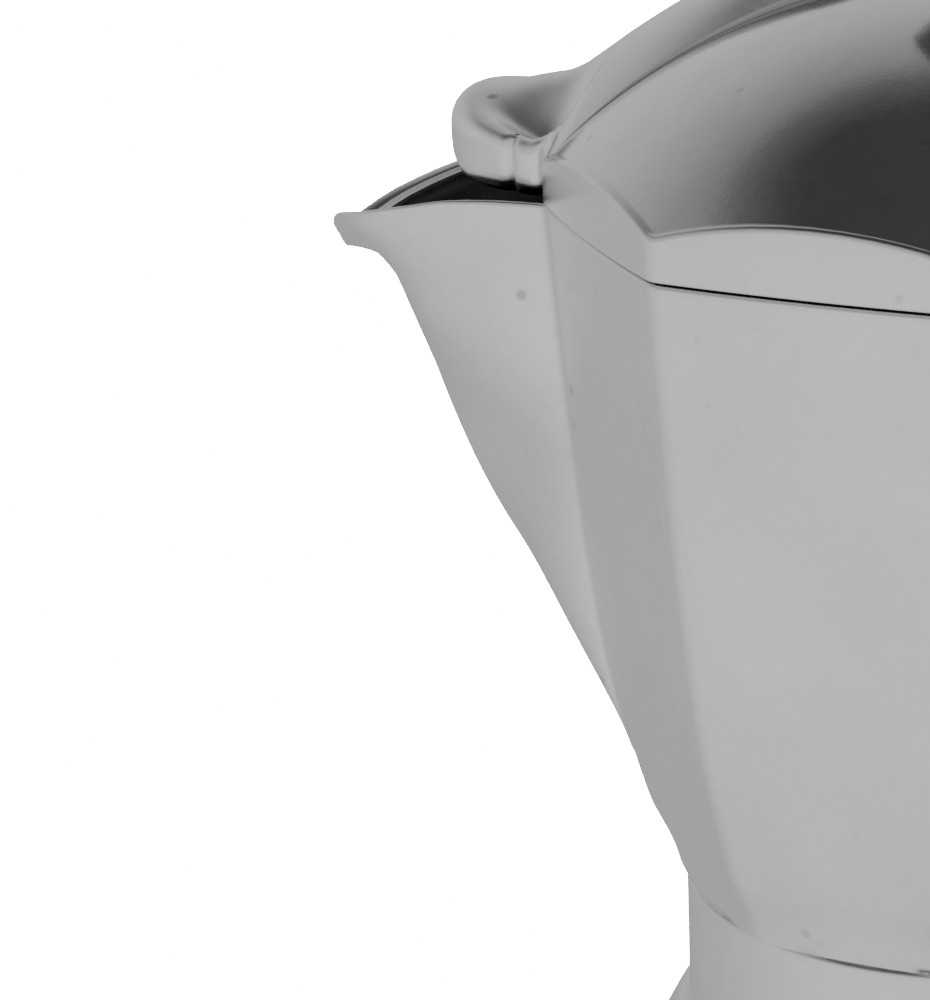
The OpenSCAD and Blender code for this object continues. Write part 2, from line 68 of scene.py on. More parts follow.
# Sizes in millimetres that several pieces share. Some heights come from the imported nodes.
HALF = math.radians(22.5)
APOTHEM = math.cos(HALF)
COLLAR_H, COLLECTOR_H = 16, 83
COLLAR_Z = cad_low("collector")[2]
WAIST_Z = COLLAR_Z + COLLAR_H
RIM_Z = WAIST_Z + COLLECTOR_H
CHAMBER_Z = 93.8
SIDE_BOW = 0.9
RIM_R, COLLAR_R, NECK_R = 53.0, 37.5, 34.0
SPOUT_DEEP = 0.83
SPOUT_TIP = (float(cad_low("collector")[0]), -11.4)
BOILER_H, FOOT_R, SHOULDER_R = 70.0, 54.5, 46.0
NECK_TOP = cad_high("boiler")[2]
DOME_R, DOME_H = 73.0, 27.8
DOME_Z = DOME_H - DOME_R
NOSE_ROOT = RIM_R * APOTHEM
NOSE_REACH = float(-cad_low("lid")[0])
NOSE_HALF_W = 16.6
KNOB_Z = cad_low("knob")[2]
HINGE_X, HINGE_Z = RIM_R * APOTHEM + 6.6, RIM_Z + 3.6
THREAD_FOOT_Z = 72.5
VALVE_Z = 46


# ---------- shape functions ----------

def mix(a, b, t):
    return a + (b - a) * t


def ease(t):
    u = np.clip(t, 0, 1)
    return u * u * (3 - 2 * u)


def bezier(a, b, c, t):
    a, b, c = (np.asarray(p, float) for p in (a, b, c))
    t = np.asarray(t, float)[..., None]
    return a * (1 - t) ** 2 + b * 2 * t * (1 - t) + c * t * t


def curve_through(xs, ys):
    """A smooth function through points that doesn't overshoot between them."""
    xs, ys = np.asarray(xs, float), np.asarray(ys, float)
    h, d = np.diff(xs), np.diff(ys) / np.diff(xs)
    m = np.zeros_like(ys)
    same = d[1:] * d[:-1] > 0
    w1, w2 = 2 * h[1:] + h[:-1], h[1:] + 2 * h[:-1]
    m[1:-1][same] = ((w1 + w2)[same] / (w1[same] / d[:-1][same] + w2[same] / d[1:][same]))
    m[0], m[-1] = d[0], d[-1]

    def value(x):
        x = np.clip(x, xs[0], xs[-1])
        i = np.clip(np.searchsorted(xs, x, side="right") - 1, 0, len(h) - 1)
        t = (x - xs[i]) / h[i]
        a, b = 2 * t**3 - 3 * t**2 + 1, t**3 - 2 * t**2 + t
        return a * ys[i] + b * h[i] * m[i] + (1 - a) * ys[i + 1] + (t**3 - t**2) * h[i] * m[i + 1]

    return value


def steps(a, b, n, ends=0.0):
    """n values from a to b, drawn towards both ends as ends goes to 1."""
    t = np.linspace(0, 1, n)
    return a + (b - a) * mix(t, (1 - np.cos(math.pi * t)) / 2, ends)


def grid_faces(rows, cols):
    """Quads over rings of points, each ring anticlockwise seen from above and the rings going down."""
    i, j = np.meshgrid(np.arange(rows - 1), np.arange(cols), indexing="ij")
    a, b = i * cols + j, i * cols + (j + 1) % cols
    return np.stack([a, a + cols, b + cols, b], -1).reshape(-1, 4)


def fan(ring_start, cols, centre, flip=False):
    j = np.arange(cols)
    a, b = ring_start + j, ring_start + (j + 1) % cols
    middle = np.full(cols, centre)
    return np.stack([middle, b, a] if flip else [middle, a, b], -1)


def link(name, points, faces, smooth=40.0):
    """A mesh object at the origin from points in millimetres, shaded smooth below an angle in degrees."""
    mesh = bpy.data.meshes.new(name)
    mesh.from_pydata((np.asarray(points, float) * MM).tolist(), [], [list(map(int, f)) for f in faces])
    mesh.validate()
    mesh.update()
    obj = bpy.data.objects.new(name, mesh)
    bpy.context.scene.collection.objects.link(obj)
    mesh.shade_smooth()
    if smooth:
        mesh.set_sharp_from_angle(angle=math.radians(smooth))
    return obj


def closed_rings(name, rings, smooth=40.0, loop=False):
    """A closed piece through rings of equal length that start at the top and go down the outside.
    With loop, the last ring joins the first, and otherwise both ends are capped."""
    rings = [np.asarray(r, float) for r in rings]
    n, m = len(rings[0]), len(rings)
    points = np.concatenate(rings)
    faces = grid_faces(m, n).tolist()
    if loop:
        j = np.arange(n)
        last, k = (m - 1) * n, (j + 1) % n
        faces += np.stack([last + j, j, k, last + k], -1).tolist()
        return link(name, points, faces, smooth)
    points = np.concatenate([points, [rings[0].mean(0), rings[-1].mean(0)]])
    faces += fan(0, n, m * n).tolist() + fan((m - 1) * n, n, m * n + 1, True).tolist()
    return link(name, points, faces, smooth)


def lathe(name, profile, segments=128, axis="Z", centre=(0, 0, 0), smooth=35.0, shape=None):
    """Turns a closed outline of (radius, height) round Z or -Y. A radius of 0 makes a pole.
    The outline runs from the top of the axis, down the outside and back. A shape function gives
    the share of the radius at each angle, radius and height."""
    angles = np.linspace(0, 2 * math.pi, segments, endpoint=False)
    points, index = [], []
    for r, z in profile:
        if r < 1e-6:
            index.append((len(points), 1))
            points.append((0, 0, z))
        else:
            index.append((len(points), segments))
            rr = r * (shape(angles, r, z) if shape else np.ones(segments))
            points += list(zip(rr * np.cos(angles), rr * np.sin(angles), np.full(segments, z)))
    faces = []
    closed = list(zip(index, index[1:] + index[:1]))
    if index[0][1] == 1:
        closed = closed[:-1]
    for (a, na), (b, nb) in closed:
        for j in range(segments):
            k = (j + 1) % segments
            if na > 1 and nb > 1:
                faces.append((a + j, b + j, b + k, a + k))
            elif na > 1:
                faces.append((a + j, b, a + k))
            elif nb > 1:
                faces.append((a, b + j, b + k))
    p = np.array(points, float)
    if axis == "-Y":
        p = np.stack([p[:, 0], -p[:, 2], p[:, 1]], -1)
    return link(name, p + np.array(centre), faces, smooth)


def arc(cx, cz, r, a0, a1, n=5):
    """Points of a round edge, with angles in degrees from the outward direction."""
    a = np.radians(np.linspace(a0, a1, n))
    return list(zip(cx + r * np.cos(a), cz + r * np.sin(a)))


def joined(name, parts):
    """One object out of several."""
    bpy.ops.object.select_all(action="DESELECT")
    for o in parts:
        o.select_set(True)
    bpy.context.view_layer.objects.active = parts[0]
    bpy.ops.object.join()
    parts[0].name = name
    parts[0].data.name = name
    return parts[0]


def softened(obj, width, segments=3, angle=30):
    """Rounds the sharp edges of a made piece, and leaves a plain mesh."""
    edge = obj.modifiers.new("edges", "BEVEL")
    edge.width, edge.segments = width * MM, segments
    edge.limit_method, edge.angle_limit = "ANGLE", math.radians(angle)
    return plain(obj)


def plain(obj):
    """Replaces an object's mesh by what its modifiers make of it."""
    bpy.context.view_layer.update()
    shown = obj.evaluated_get(bpy.context.evaluated_depsgraph_get())
    made = bpy.data.meshes.new_from_object(shown)
    obj.modifiers.clear()
    obj.data = made
    return obj


def placed(obj, body, slot, material, *nodes):
    """Gives a piece its finish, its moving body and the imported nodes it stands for."""
    obj.data.materials.clear()
    obj.data.materials.append(material)
    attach(obj, body)
    if nodes:
        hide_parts(*nodes)
    return obj


# ---------- finishes ----------

class Value:
    """A number, colour or vector on a node's socket. Numbers can be used in plain expressions."""

    def __init__(self, tree, socket):
        self.tree, self.socket = tree, socket

    def apply(self, operation, *args):
        """A Math node on values and plain numbers."""
        node = self.tree.nodes.new("ShaderNodeMath")
        node.operation = operation
        for i, a in enumerate(args):
            if isinstance(a, Value):
                self.tree.links.new(a.socket, node.inputs[i])
            else:
                node.inputs[i].default_value = float(a)
        return Value(self.tree, node.outputs[0])

    def __add__(self, o):
        return self.apply("ADD", self, o)

    def __radd__(self, o):
        return self.apply("ADD", o, self)

    def __sub__(self, o):
        return self.apply("SUBTRACT", self, o)

    def __rsub__(self, o):
        return self.apply("SUBTRACT", o, self)

    def __mul__(self, o):
        return self.apply("MULTIPLY", self, o)

    def __rmul__(self, o):
        return self.apply("MULTIPLY", o, self)

    def __truediv__(self, o):
        return self.apply("DIVIDE", self, o)

    def __pow__(self, o):
        return self.apply("POWER", self, o)

    def magnitude(self):
        """The number without its sign."""
        return self.apply("ABSOLUTE", self)

    def axes(self):
        """The three coordinates of a vector."""
        node = self.tree.nodes.new("ShaderNodeSeparateXYZ")
        self.tree.links.new(self.socket, node.inputs[0])
        return [Value(self.tree, out) for out in node.outputs]

    def above(self, edge, width):
        """0 below edge and 1 above it, softened over width."""
        return clamped((self - (edge - width / 2)) / width)


def clamped(v):
    """A value kept between 0 and 1."""
    out = v.apply("MULTIPLY", v, 1.0)
    out.socket.node.use_clamp = True
    return out


class NodeMaker:
    """Adds nodes to a tree."""

    def __init__(self, tree):
        self.tree = tree

    def node(self, kind, settings=None, inputs=None, output=0):
        """Adds a node with its settings first, and then the values or links of its sockets."""
        made = self.tree.nodes.new(kind)
        for key, value in (settings or {}).items():
            if key == "stops":
                ramp = made.color_ramp
                while len(ramp.elements) < len(value):
                    ramp.elements.new(0.5)
                for element, (at, colour) in zip(ramp.elements, value):
                    element.position, element.color = at, colour
            else:
                setattr(made, key, value)
        for key, value in (inputs or {}).items():
            socket = made.inputs[key]
            if isinstance(value, Value):
                self.tree.links.new(value.socket, socket)
            else:
                socket.default_value = value
        return Value(self.tree, made.outputs[output])

    def mixed(self, amount, a, b):
        """One colour turning to another as amount goes from 0 to 1."""
        return self.node("ShaderNodeMix", {"data_type": "RGBA"}, {0: amount, 6: a, 7: b}, 2)


class Finish(NodeMaker):
    """One material, built on a Principled shader whose constants are set on its own sockets."""

    def __init__(self, name, **constants):
        self.material = bpy.data.materials.new(name)
        self.material.use_nodes = True
        super().__init__(self.material.node_tree)
        self.shader = self.tree.nodes["Principled BSDF"]
        for key, value in constants.items():
            self.shader.inputs[key.replace("_", " ")].default_value = value
        self.place = self.node("ShaderNodeTexCoord", {}, {}, "Object")

    def stretched(self, scale, turn=(0, 0, 0)):
        """Places on the piece, stretched and turned, for streaks."""
        return self.node("ShaderNodeMapping", {},
                         {"Vector": self.place, "Scale": scale, "Rotation": turn})

    def noise(self, scale, detail=3.0, rough=0.55, place=None, distortion=0.0):
        return self.node("ShaderNodeTexNoise", {}, {"Vector": place or self.place, "Scale": scale,
                         "Detail": detail, "Roughness": rough, "Distortion": distortion})

    def cells(self, scale):
        return self.node("ShaderNodeTexVoronoi", {}, {"Vector": self.place, "Scale": scale}, "Distance")

    def set(self, socket, value):
        self.tree.links.new(value.socket, self.shader.inputs[socket])

    def bump(self, height, distance, strength=1.0):
        self.set("Normal", self.node("ShaderNodeBump", {}, {"Height": height, "Distance": distance * MM,
                                     "Strength": strength}))


def step_shade_half_width(x):
    """Half width in metres of the painted shade line at the hood's foot, wider towards the knob."""
    return clamped((x + 0.049) * 8.0) * 0.0004 + 0.0003


def cast_aluminium(look):
    """Satin cast aluminium: cloudy polish, fine tumbling grain, hairlines, a few pits and smears.
    The lid's dome is more polished, its hood more satin, and a painted shade line runs along the hood's foot,
    standing in for the shade of the step there."""
    f = Finish("cast_aluminium", Metallic=1.0, IOR=1.5)
    clouds = f.noise(45, 3, 0.5)
    broad = f.noise(14, 2, 0.5)
    grain = f.noise(2600, 2, 0.5)
    fine = f.noise(620, 3, 0.6)
    lines = f.noise(160, 3, 0.6, f.stretched((14, 14, 0.9), (0.1, 0.05, 0.3)))
    pits = 1 - f.cells(150).above(0.10, 0.08)
    rare = f.noise(38, 2, 0.5).above(0.58, 0.05)
    dents = pits * rare
    smears = f.noise(120, 4, 0.65, f.stretched((1, 1, 0.7)), 0.8).above(0.66, 0.08)
    cast = clamped((clouds - 0.5) * 1.9 + (broad - 0.5) * 1.6 + (fine - 0.5) * 0.9 - smears * 0.35 + 0.5)
    x, y, z = f.place.axes()
    across = y.magnitude() * APOTHEM + x * math.sin(HALF)
    above_rim = z.above((RIM_Z + 5.5) * MM, 0.001)
    up = f.node("ShaderNodeTexCoord", {}, {}, "Normal").axes()[2].above(0.5, 0.16)
    inside = 1 - across.above(0.0, 0.0006)
    hood = inside * above_rim * (1 - x.above(-0.008, 0.006))
    dome_face = up * above_rim * (1 - inside) * (1 - x.above(0.049, 0.001))
    # Painted shade: a dark line along the foot of the hood's step, standing in for the shade the step casts
    # on the dome.
    step_shade_nearness = 1 - clamped((across - 0.00015).magnitude() / step_shade_half_width(x))
    painted_step_shade = clamped(step_shade_nearness * 1.6) * above_rim * x.above(-0.049, 0.001) * (1 - x.above(-0.014, 0.004))
    light, dark = tuple(look.metal), tuple(c * 0.86 for c in look.metal)
    tone = f.mixed(cast, (*dark, 1), (*light, 1))
    tone = f.mixed(hood * 0.8, tone, (0.93, 0.935, 0.95, 1))
    tone = f.mixed(dents * 0.6, tone, (*[c * 0.45 for c in light], 1))
    # Mixes the painted step shade into the base colour.
    f.set("Base Color", f.mixed(painted_step_shade * 0.75, tone, (0.12, 0.11, 0.10, 1)))
    f.set("Roughness", clamped(look.metal_roughness + hood * 0.14 - dome_face * 0.10 + (cast - 0.5) * 0.10
                               + (lines - 0.5) * 0.07 + dents * 0.2))
    relief = (grain - 0.5) * 0.10 + (fine - 0.5) * 0.22 + (lines - 0.5) * 0.12 + (clouds - 0.5) * 1.5
    f.bump(relief - dents * 1.2, 0.06, 0.55)
    return f.material


def raw_casting():
    """The duller skin of the casting inside the chamber, with a coffee-brown film."""
    f = Finish("raw_casting", Metallic=1.0)
    clouds, fine = f.noise(70, 4, 0.6), f.noise(900, 3, 0.6)
    film, metal = (0.045, 0.040, 0.036, 1), (0.10, 0.092, 0.085, 1)
    f.set("Base Color", f.mixed(clouds.above(0.5, 0.5), film, metal))
    f.set("Roughness", clamped(0.42 + (fine - 0.5) * 0.3))
    f.bump((fine - 0.5) + (clouds - 0.5) * 2, 0.12, 0.6)
    return f.material


def turned_metal(name, colour, roughness, pitch=2400.0):
    """Lathe-turned metal with fine rings round the vertical axis."""
    f = Finish(name, Metallic=1.0)
    rings = f.noise(1.0, 2, 0.5, f.stretched((40, 40, pitch)))
    clouds = f.noise(90, 3, 0.5)
    f.set("Base Color", f.mixed(clouds, (*[c * 0.85 for c in colour], 1), (*colour, 1)))
    f.set("Roughness", clamped(roughness + (rings - 0.5) * 0.14 + (clouds - 0.5) * 0.08))
    f.bump((rings - 0.5) * 0.5 + (clouds - 0.5) * 0.4, 0.03, 0.5)
    return f.material


def bakelite(look):
    """Black moulded resin with a soft gloss, faint swirls and dust-fine scuffs."""
    f = Finish("bakelite", IOR=1.55, Coat_Roughness=0.12)
    swirl = f.noise(60, 3, 0.5, None, 1.2)
    scuff = f.noise(500, 4, 0.65, f.stretched((1, 1, 0.2)))
    base = tuple(look.resin)
    f.set("Base Color", f.mixed(swirl, (*base, 1), (*[c * 1.5 for c in base], 1)))
    f.set("Roughness", clamped(0.26 + (swirl - 0.5) * 0.08 + scuff.above(0.6, 0.2) * 0.12))
    f.set("Coat Weight", 0.25 + swirl * 0.1)
    f.bump((swirl - 0.5) * 0.6 + (scuff - 0.5) * 0.25, 0.05, 0.4)
    return f.material


def rubber(name, colour, roughness=0.6):
    """Silicone, rubber or fibre with a matt, slightly mottled skin."""
    f = Finish(name, IOR=1.42)
    mottle, skin = f.noise(120, 3, 0.5), f.noise(1800, 2, 0.5)
    f.set("Base Color", f.mixed(mottle, (*[c * 0.85 for c in colour], 1), (*colour, 1)))
    f.set("Roughness", clamped(roughness + (mottle - 0.5) * 0.2))
    f.bump((skin - 0.5) * 0.5 + (mottle - 0.5), 0.05, 0.4)
    return f.material


FINISHES = {}


def finish(name):
    """The shared material of that name, made once."""
    look = bpy.context.scene.moka_look
    makers = {
        "cast": lambda: cast_aluminium(look),
        "chamber": raw_casting,
        "pressed": lambda: turned_metal("pressed_aluminium", (0.80, 0.80, 0.81), 0.30),
        "brass": lambda: turned_metal("brass", tuple(look.brass), 0.24),
        "steel": lambda: turned_metal("steel", (0.62, 0.61, 0.59), 0.26),
        "resin": lambda: bakelite(look),
        "silicone": lambda: rubber("silicone", tuple(look.gasket)),
        "fibre": lambda: rubber("fibre", (0.33, 0.05, 0.035), 0.75),
    }
    if name not in FINISHES:
        FINISHES[name] = makers[name]()
    return FINISHES[name]


# ---------- cast body: shared outline ----------

def collector_r(t):
    """Corner radius at a share t of the way from the rim down to the waist."""
    foot = COLLAR_R + 1.6
    return mix(RIM_R, foot, 0.5 * t) - 0.5 * (RIM_R - foot) * t**4.2


# The spout's lip from the body's side to the tip: height in millimetres, and share of the half width.
lip_z = curve_through([0, 0.15, 0.3, 0.48, 0.64, 0.77, 0.9, 0.96, 1],
                      [0, 0, -0.3, -1.7, -3.3, -4.9, -7.4, -9.4, SPOUT_TIP[1]])
lip_w = curve_through([0, 0.15, 0.29, 0.42, 0.52, 0.64, 0.77, 0.9, 0.96, 1],
                      [1, 1.035, 1.06, 1.062, 1.04, 0.97, 0.74, 0.38, 0.18, 0])


def keel(u, inset):
    """Where the spout's keel lies at a level u, as distance along X and height from the rim."""
    tip = np.array(SPOUT_TIP)
    under, root = tip + (1, -2.2), np.array([SPOUT_TIP[0] + 9.4, SPOUT_TIP[1] - 5.3])
    foot = np.array([-collector_r(SPOUT_DEEP) * APOTHEM - 0.3, -SPOUT_DEEP * COLLECTOR_H])
    if u < 0.03:
        p = mix(tip, under, u / 0.03)
    elif u < 0.14:
        p = bezier(under, under + (6, 0.2), root, (u - 0.03) / 0.11)
    else:
        s = (u - 0.14) / 0.86
        p = mix(root, foot, np.array([0.5 * s + 0.5 * s**3.7, s]))
    return p + (inset * 1.15, 0)


# Where points lie along a plain side, along half of the spout, and round a soft corner.
SIDE_T = steps(0, 1, 13, 0.3)[1:-1]
SPOUT_S = np.concatenate([[0.02, 0.05, 0.09, 0.14], np.linspace(0.19, 0.9, 18),
                          [0.93, 0.955, 0.975, 0.99]])
ARC_T = np.linspace(0, 1, 7)


def octagon_corner(k, r):
    a = HALF + 2 * HALF * k
    return np.array([math.cos(a), math.sin(a)]) * r


def body_ring(t, inset, soft):
    """One level of the cast body: eight soft corners, bowed sides and the spout in front.
    The ring runs anticlockwise from the corner just past the handle."""
    r = collector_r(t) - inset / APOTHEM
    bow = SIDE_BOW * (1 - 0.6 * t)
    level = -t * COLLECTOR_H
    u = t / SPOUT_DEEP
    has_spout = u < 1
    sides = []
    for k in range(8):
        a, b = octagon_corner(k, r), octagon_corner(k + 1, r)
        out = np.array([math.cos(2 * HALF * (k + 1)), math.sin(2 * HALF * (k + 1))])

        def side(s, a=a, b=b, out=out):
            s = np.atleast_1d(s)
            return np.column_stack([mix(a, b, s[:, None]) + out * (bow * 4 * s * (1 - s))[:, None],
                                    np.full(len(s), level)])
        sides.append(side)
    if has_spout:
        k_end = keel(u, inset)
        x0 = -r * APOTHEM
        w0 = r * math.sin(HALF) - 0.25 * inset
        blend = ease(u / 0.5)
        fat = mix(2.6, 1.25, ease(u / 0.5)) + 0.75 * ease((u - 0.45) / 0.45)

        def front(s):
            s = np.atleast_1d(s)
            w = w0 * mix(lip_w(s), 1 - s**fat, blend)
            drop = mix(lip_z(s) / lip_z(1.0), s**2.2, ease(u / 0.3))
            return np.column_stack([mix(x0, k_end[0], s), w, level + (k_end[1] - level) * drop])
        sides[3] = front
    ring = []
    reach = soft / (2 * r * math.sin(HALF))
    for k in range(8):
        before, after = sides[(k - 1) % 8], sides[k]
        tip = after(0.0)[0]
        far = mix(0.03, 0.06, ease((u - 0.6) / 0.4)) if has_spout else reach
        start = before(far)[0] * (1, -1, 1) if has_spout and k == 4 else before(1 - reach)[0]
        end = after(far if k == 3 else reach)[0]
        ring.append(bezier(start, tip, end, ARC_T))
        if k == 3 and has_spout:
            half = after(mix(far, 1, SPOUT_S))
            ring += [half, after(1.0), half[::-1] * (1, -1, 1)]
        elif k == 3:
            ring.append(after(np.linspace(reach, 1 - reach, 2 * len(SPOUT_S) + 3)[1:-1]))
        else:
            ring.append(after(mix(reach, 1 - reach, SIDE_T)))
    ring = np.concatenate(ring)
    ring[:, 2] += RIM_Z
    return ring


def to_round(ring, r, amount):
    """Draws a ring's outline towards a circle."""
    flat = ring[:, :2]
    circle = flat / np.linalg.norm(flat, axis=1)[:, None] * r
    return np.column_stack([mix(flat, circle, amount), ring[:, 2]])


def levels_down(stop):
    """Levels from the rim to a stop, close together where the lip flares."""
    lip = [0.008, 0.014, 0.02, 0.027, 0.036, 0.046, 0.057, 0.069, 0.082, 0.096, 0.112, 0.13]
    body = np.linspace(0.15, SPOUT_DEEP - 0.004, 44)
    foot = np.concatenate([[SPOUT_DEEP + 0.003], np.linspace(0.85, 0.985, 14), [1.0]])
    return [t for t in np.concatenate([lip, body, foot]) if t <= stop]


def shift(ring, dz):
    return ring + (0, 0, dz)


def circle_like(ring, r, z):
    return to_round(ring, r, 1) * (1, 1, 0) + (0, 0, z)


def convex_outline(points):
    """The outer boundary of some points in a plane, anticlockwise."""
    points = sorted(map(tuple, points))
    out = []
    for run in (points, points[::-1]):
        part = []
        for p in run:
            while len(part) > 1 and np.cross(np.subtract(part[-1], part[-2]), np.subtract(p, part[-2])) <= 0:
                part.pop()
            part.append(p)
        out += part[:-1]
    return out


def slab(name, outline, y0, y1, edge=0.6):
    """An outline in X and Z made solid from y0 to y1, with rounded edges."""
    n = len(outline)
    points = [(x, y0, z) for x, z in outline] + [(x, y1, z) for x, z in outline]
    j = np.arange(n)
    k = (j + 1) % n
    faces = np.stack([j, k, n + k, n + j], -1).tolist() + [list(range(n - 1, -1, -1)), list(range(n, 2 * n))]
    return softened(link(name, points, faces, 30), edge)


def disc_points(x, z, r, n=40):
    a = np.linspace(0, 2 * math.pi, n, endpoint=False)
    return [(x + r * math.cos(v), z + r * math.sin(v)) for v in a]


def box_points(x0, x1, z0, z1):
    return [(x0, z0), (x1, z0), (x1, z1), (x0, z1)]


# ---------- trees of repeated and wound pieces ----------

class Tree(NodeMaker):
    """A Geometry Nodes tree whose named inputs are the sizes of a repeated or wound piece."""

    def __init__(self, name, material, **sizes):
        super().__init__(bpy.data.node_groups.new(name, "GeometryNodeTree"))
        face = self.tree.interface
        face.new_socket("Geometry", in_out="OUTPUT", socket_type="NodeSocketGeometry")
        self.sizes, self.material = sizes, material
        for key, value in sizes.items():
            kind = "NodeSocketInt" if isinstance(value, int) else "NodeSocketFloat"
            face.new_socket(key, in_out="INPUT", socket_type=kind).default_value = value
        self.inputs = self.tree.nodes.new("NodeGroupInput")

    def size(self, key):
        return Value(self.tree, self.inputs.outputs[key])

    def joined(self, *parts):
        join = self.tree.nodes.new("GeometryNodeJoinGeometry")
        for part in parts:
            self.tree.links.new(part.socket, join.inputs[0])
        return Value(self.tree, join.outputs[0])

    def made(self, geometry, name):
        """Ends the tree, runs it on an empty mesh and returns the result as a plain object."""
        real = self.node("GeometryNodeRealizeInstances", {}, {0: geometry})
        shaded = self.node("GeometryNodeSetMaterial", {}, {"Geometry": real, "Material": self.material})
        out = self.tree.nodes.new("NodeGroupOutput")
        self.tree.links.new(shaded.socket, out.inputs[0])
        obj = bpy.data.objects.new(name, bpy.data.meshes.new(name))
        bpy.context.scene.collection.objects.link(obj)
        modifier = obj.modifiers.new("make", "NODES")
        modifier.node_group = self.tree
        for item in self.tree.interface.items_tree:
            if item.in_out == "INPUT":
                modifier[item.identifier] = self.sizes[item.name]
        return plain(obj)


def wound(name, material, radius, low, high, turns, wire, steps_a_turn=72):
    """A wire wound round the vertical axis, in millimetres."""
    t = Tree(name, material, Radius=radius * MM, Low=low * MM, Rise=(high - low) * MM,
             Turns=float(turns), Wire=wire * MM)
    line = t.node("GeometryNodeCurveSpiral", {}, {"Resolution": steps_a_turn,
                  "Rotations": t.size("Turns"), "Start Radius": t.size("Radius"),
                  "End Radius": t.size("Radius"), "Height": t.size("Rise")})
    section = t.node("GeometryNodeCurvePrimitiveCircle", {"mode": "RADIUS"},
                     {"Resolution": 10, "Radius": t.size("Wire")})
    tube = t.node("GeometryNodeCurveToMesh", {},
                  {"Curve": line, "Profile Curve": section, "Fill Caps": True})
    up = t.node("ShaderNodeCombineXYZ", {}, {"Z": t.size("Low")})
    smooth = t.node("GeometryNodeSetShadeSmooth", {}, {0: tube})
    return t.made(t.node("GeometryNodeTransform", {}, {"Geometry": smooth, "Translation": up}), name)


def perforated(name, material, radius, low, high, hole, pitch, rings):
    """A round plate, in millimetres, with rings of punched holes at one pitch."""
    t = Tree(name, material, Radius=radius * MM, Thickness=(high - low) * MM, Hole=hole * MM,
             Pitch=pitch * MM)
    disc = t.node("GeometryNodeMeshCylinder", {}, {"Vertices": 96, "Radius": t.size("Radius"),
                  "Depth": t.size("Thickness")})
    punch = t.node("GeometryNodeMeshCylinder", {}, {"Vertices": 12, "Radius": t.size("Hole"),
                   "Depth": t.size("Thickness") * 3.0})
    points = None
    for k in range(1, rings + 1):
        ring = t.node("GeometryNodeCurvePrimitiveCircle", {"mode": "RADIUS"},
                      {"Resolution": 6 * k, "Radius": t.size("Pitch") * float(k)})
        ring = t.node("GeometryNodeCurveToPoints", {"mode": "COUNT"}, {"Curve": ring, "Count": 6 * k})
        points = ring if points is None else t.joined(points, ring)
    stamps = t.node("GeometryNodeInstanceOnPoints", {}, {"Points": points, "Instance": punch})
    pierced = t.node("GeometryNodeMeshBoolean", {"operation": "DIFFERENCE"},
                     {"Mesh 1": disc, "Mesh 2": t.node("GeometryNodeRealizeInstances", {}, {0: stamps})})
    up = t.node("ShaderNodeCombineXYZ", {}, {"Z": (high + low) / 2 * MM})
    return t.made(t.node("GeometryNodeTransform", {}, {"Geometry": pierced, "Translation": up}), name)


# ---------- sizes and colours a user may change ----------

class PotSizes(bpy.types.PropertyGroup):
    edge_round: bpy.props.FloatProperty(
        name="Casting edge", description="Rounding of the rim and lid edges",
        default=0.00055, min=0.0002, max=0.0008, unit="LENGTH")
    corner_soft: bpy.props.FloatProperty(
        name="Corner softness", description="Reach of each soft vertical corner",
        default=0.0014, min=0.0004, max=0.004, unit="LENGTH")
    wall: bpy.props.FloatProperty(
        name="Wall", description="Thickness of the cast walls at the rim",
        default=0.0021, min=0.0014, max=0.0024, unit="LENGTH")
    thread_turns: bpy.props.IntProperty(
        name="Thread turns", description="Turns of the screw thread",
        default=4, min=2, max=6)
    spring_turns: bpy.props.IntProperty(
        name="Spring turns", description="Coils of the valve spring",
        default=6, min=3, max=9)
    plate_rings: bpy.props.IntProperty(
        name="Plate rings", description="Rings of holes in the plates",
        default=8, min=4, max=10)


class PotLook(bpy.types.PropertyGroup):
    metal: bpy.props.FloatVectorProperty(
        name="Cast metal", description="Colour of the cast aluminium",
        subtype="COLOR", size=3, default=(0.80, 0.80, 0.81), min=0, max=1)
    metal_roughness: bpy.props.FloatProperty(
        name="Metal roughness", description="How satin the casting is",
        default=0.24, min=0.05, max=0.6)
    brass: bpy.props.FloatVectorProperty(
        name="Brass", description="Colour of the valve",
        subtype="COLOR", size=3, default=(0.72, 0.52, 0.24), min=0, max=1)
    resin: bpy.props.FloatVectorProperty(
        name="Resin", description="Colour of the knob and handle",
        subtype="COLOR", size=3, default=(0.014, 0.013, 0.013), min=0, max=1)
    gasket: bpy.props.FloatVectorProperty(
        name="Gasket", description="Colour of the gasket",
        subtype="COLOR", size=3, default=(0.78, 0.76, 0.70), min=0, max=1)


class StageLook(bpy.types.PropertyGroup):
    lens: bpy.props.FloatProperty(
        name="Lens", description="Focal length in millimetres",
        default=180.0, min=20, max=300)
    sky: bpy.props.FloatProperty(
        name="Room light", description="Brightness of the plain room",
        default=1.0, min=0, max=4)
    paper: bpy.props.FloatProperty(
        name="Paper glow", description="How far the backdrop burns out to white",
        default=30.0, min=0, max=60)
    card: bpy.props.FloatProperty(
        name="Soft panel", description="Power of the main soft panel in watts",
        default=1.0, min=0, max=60)


# ---------- the pieces ----------

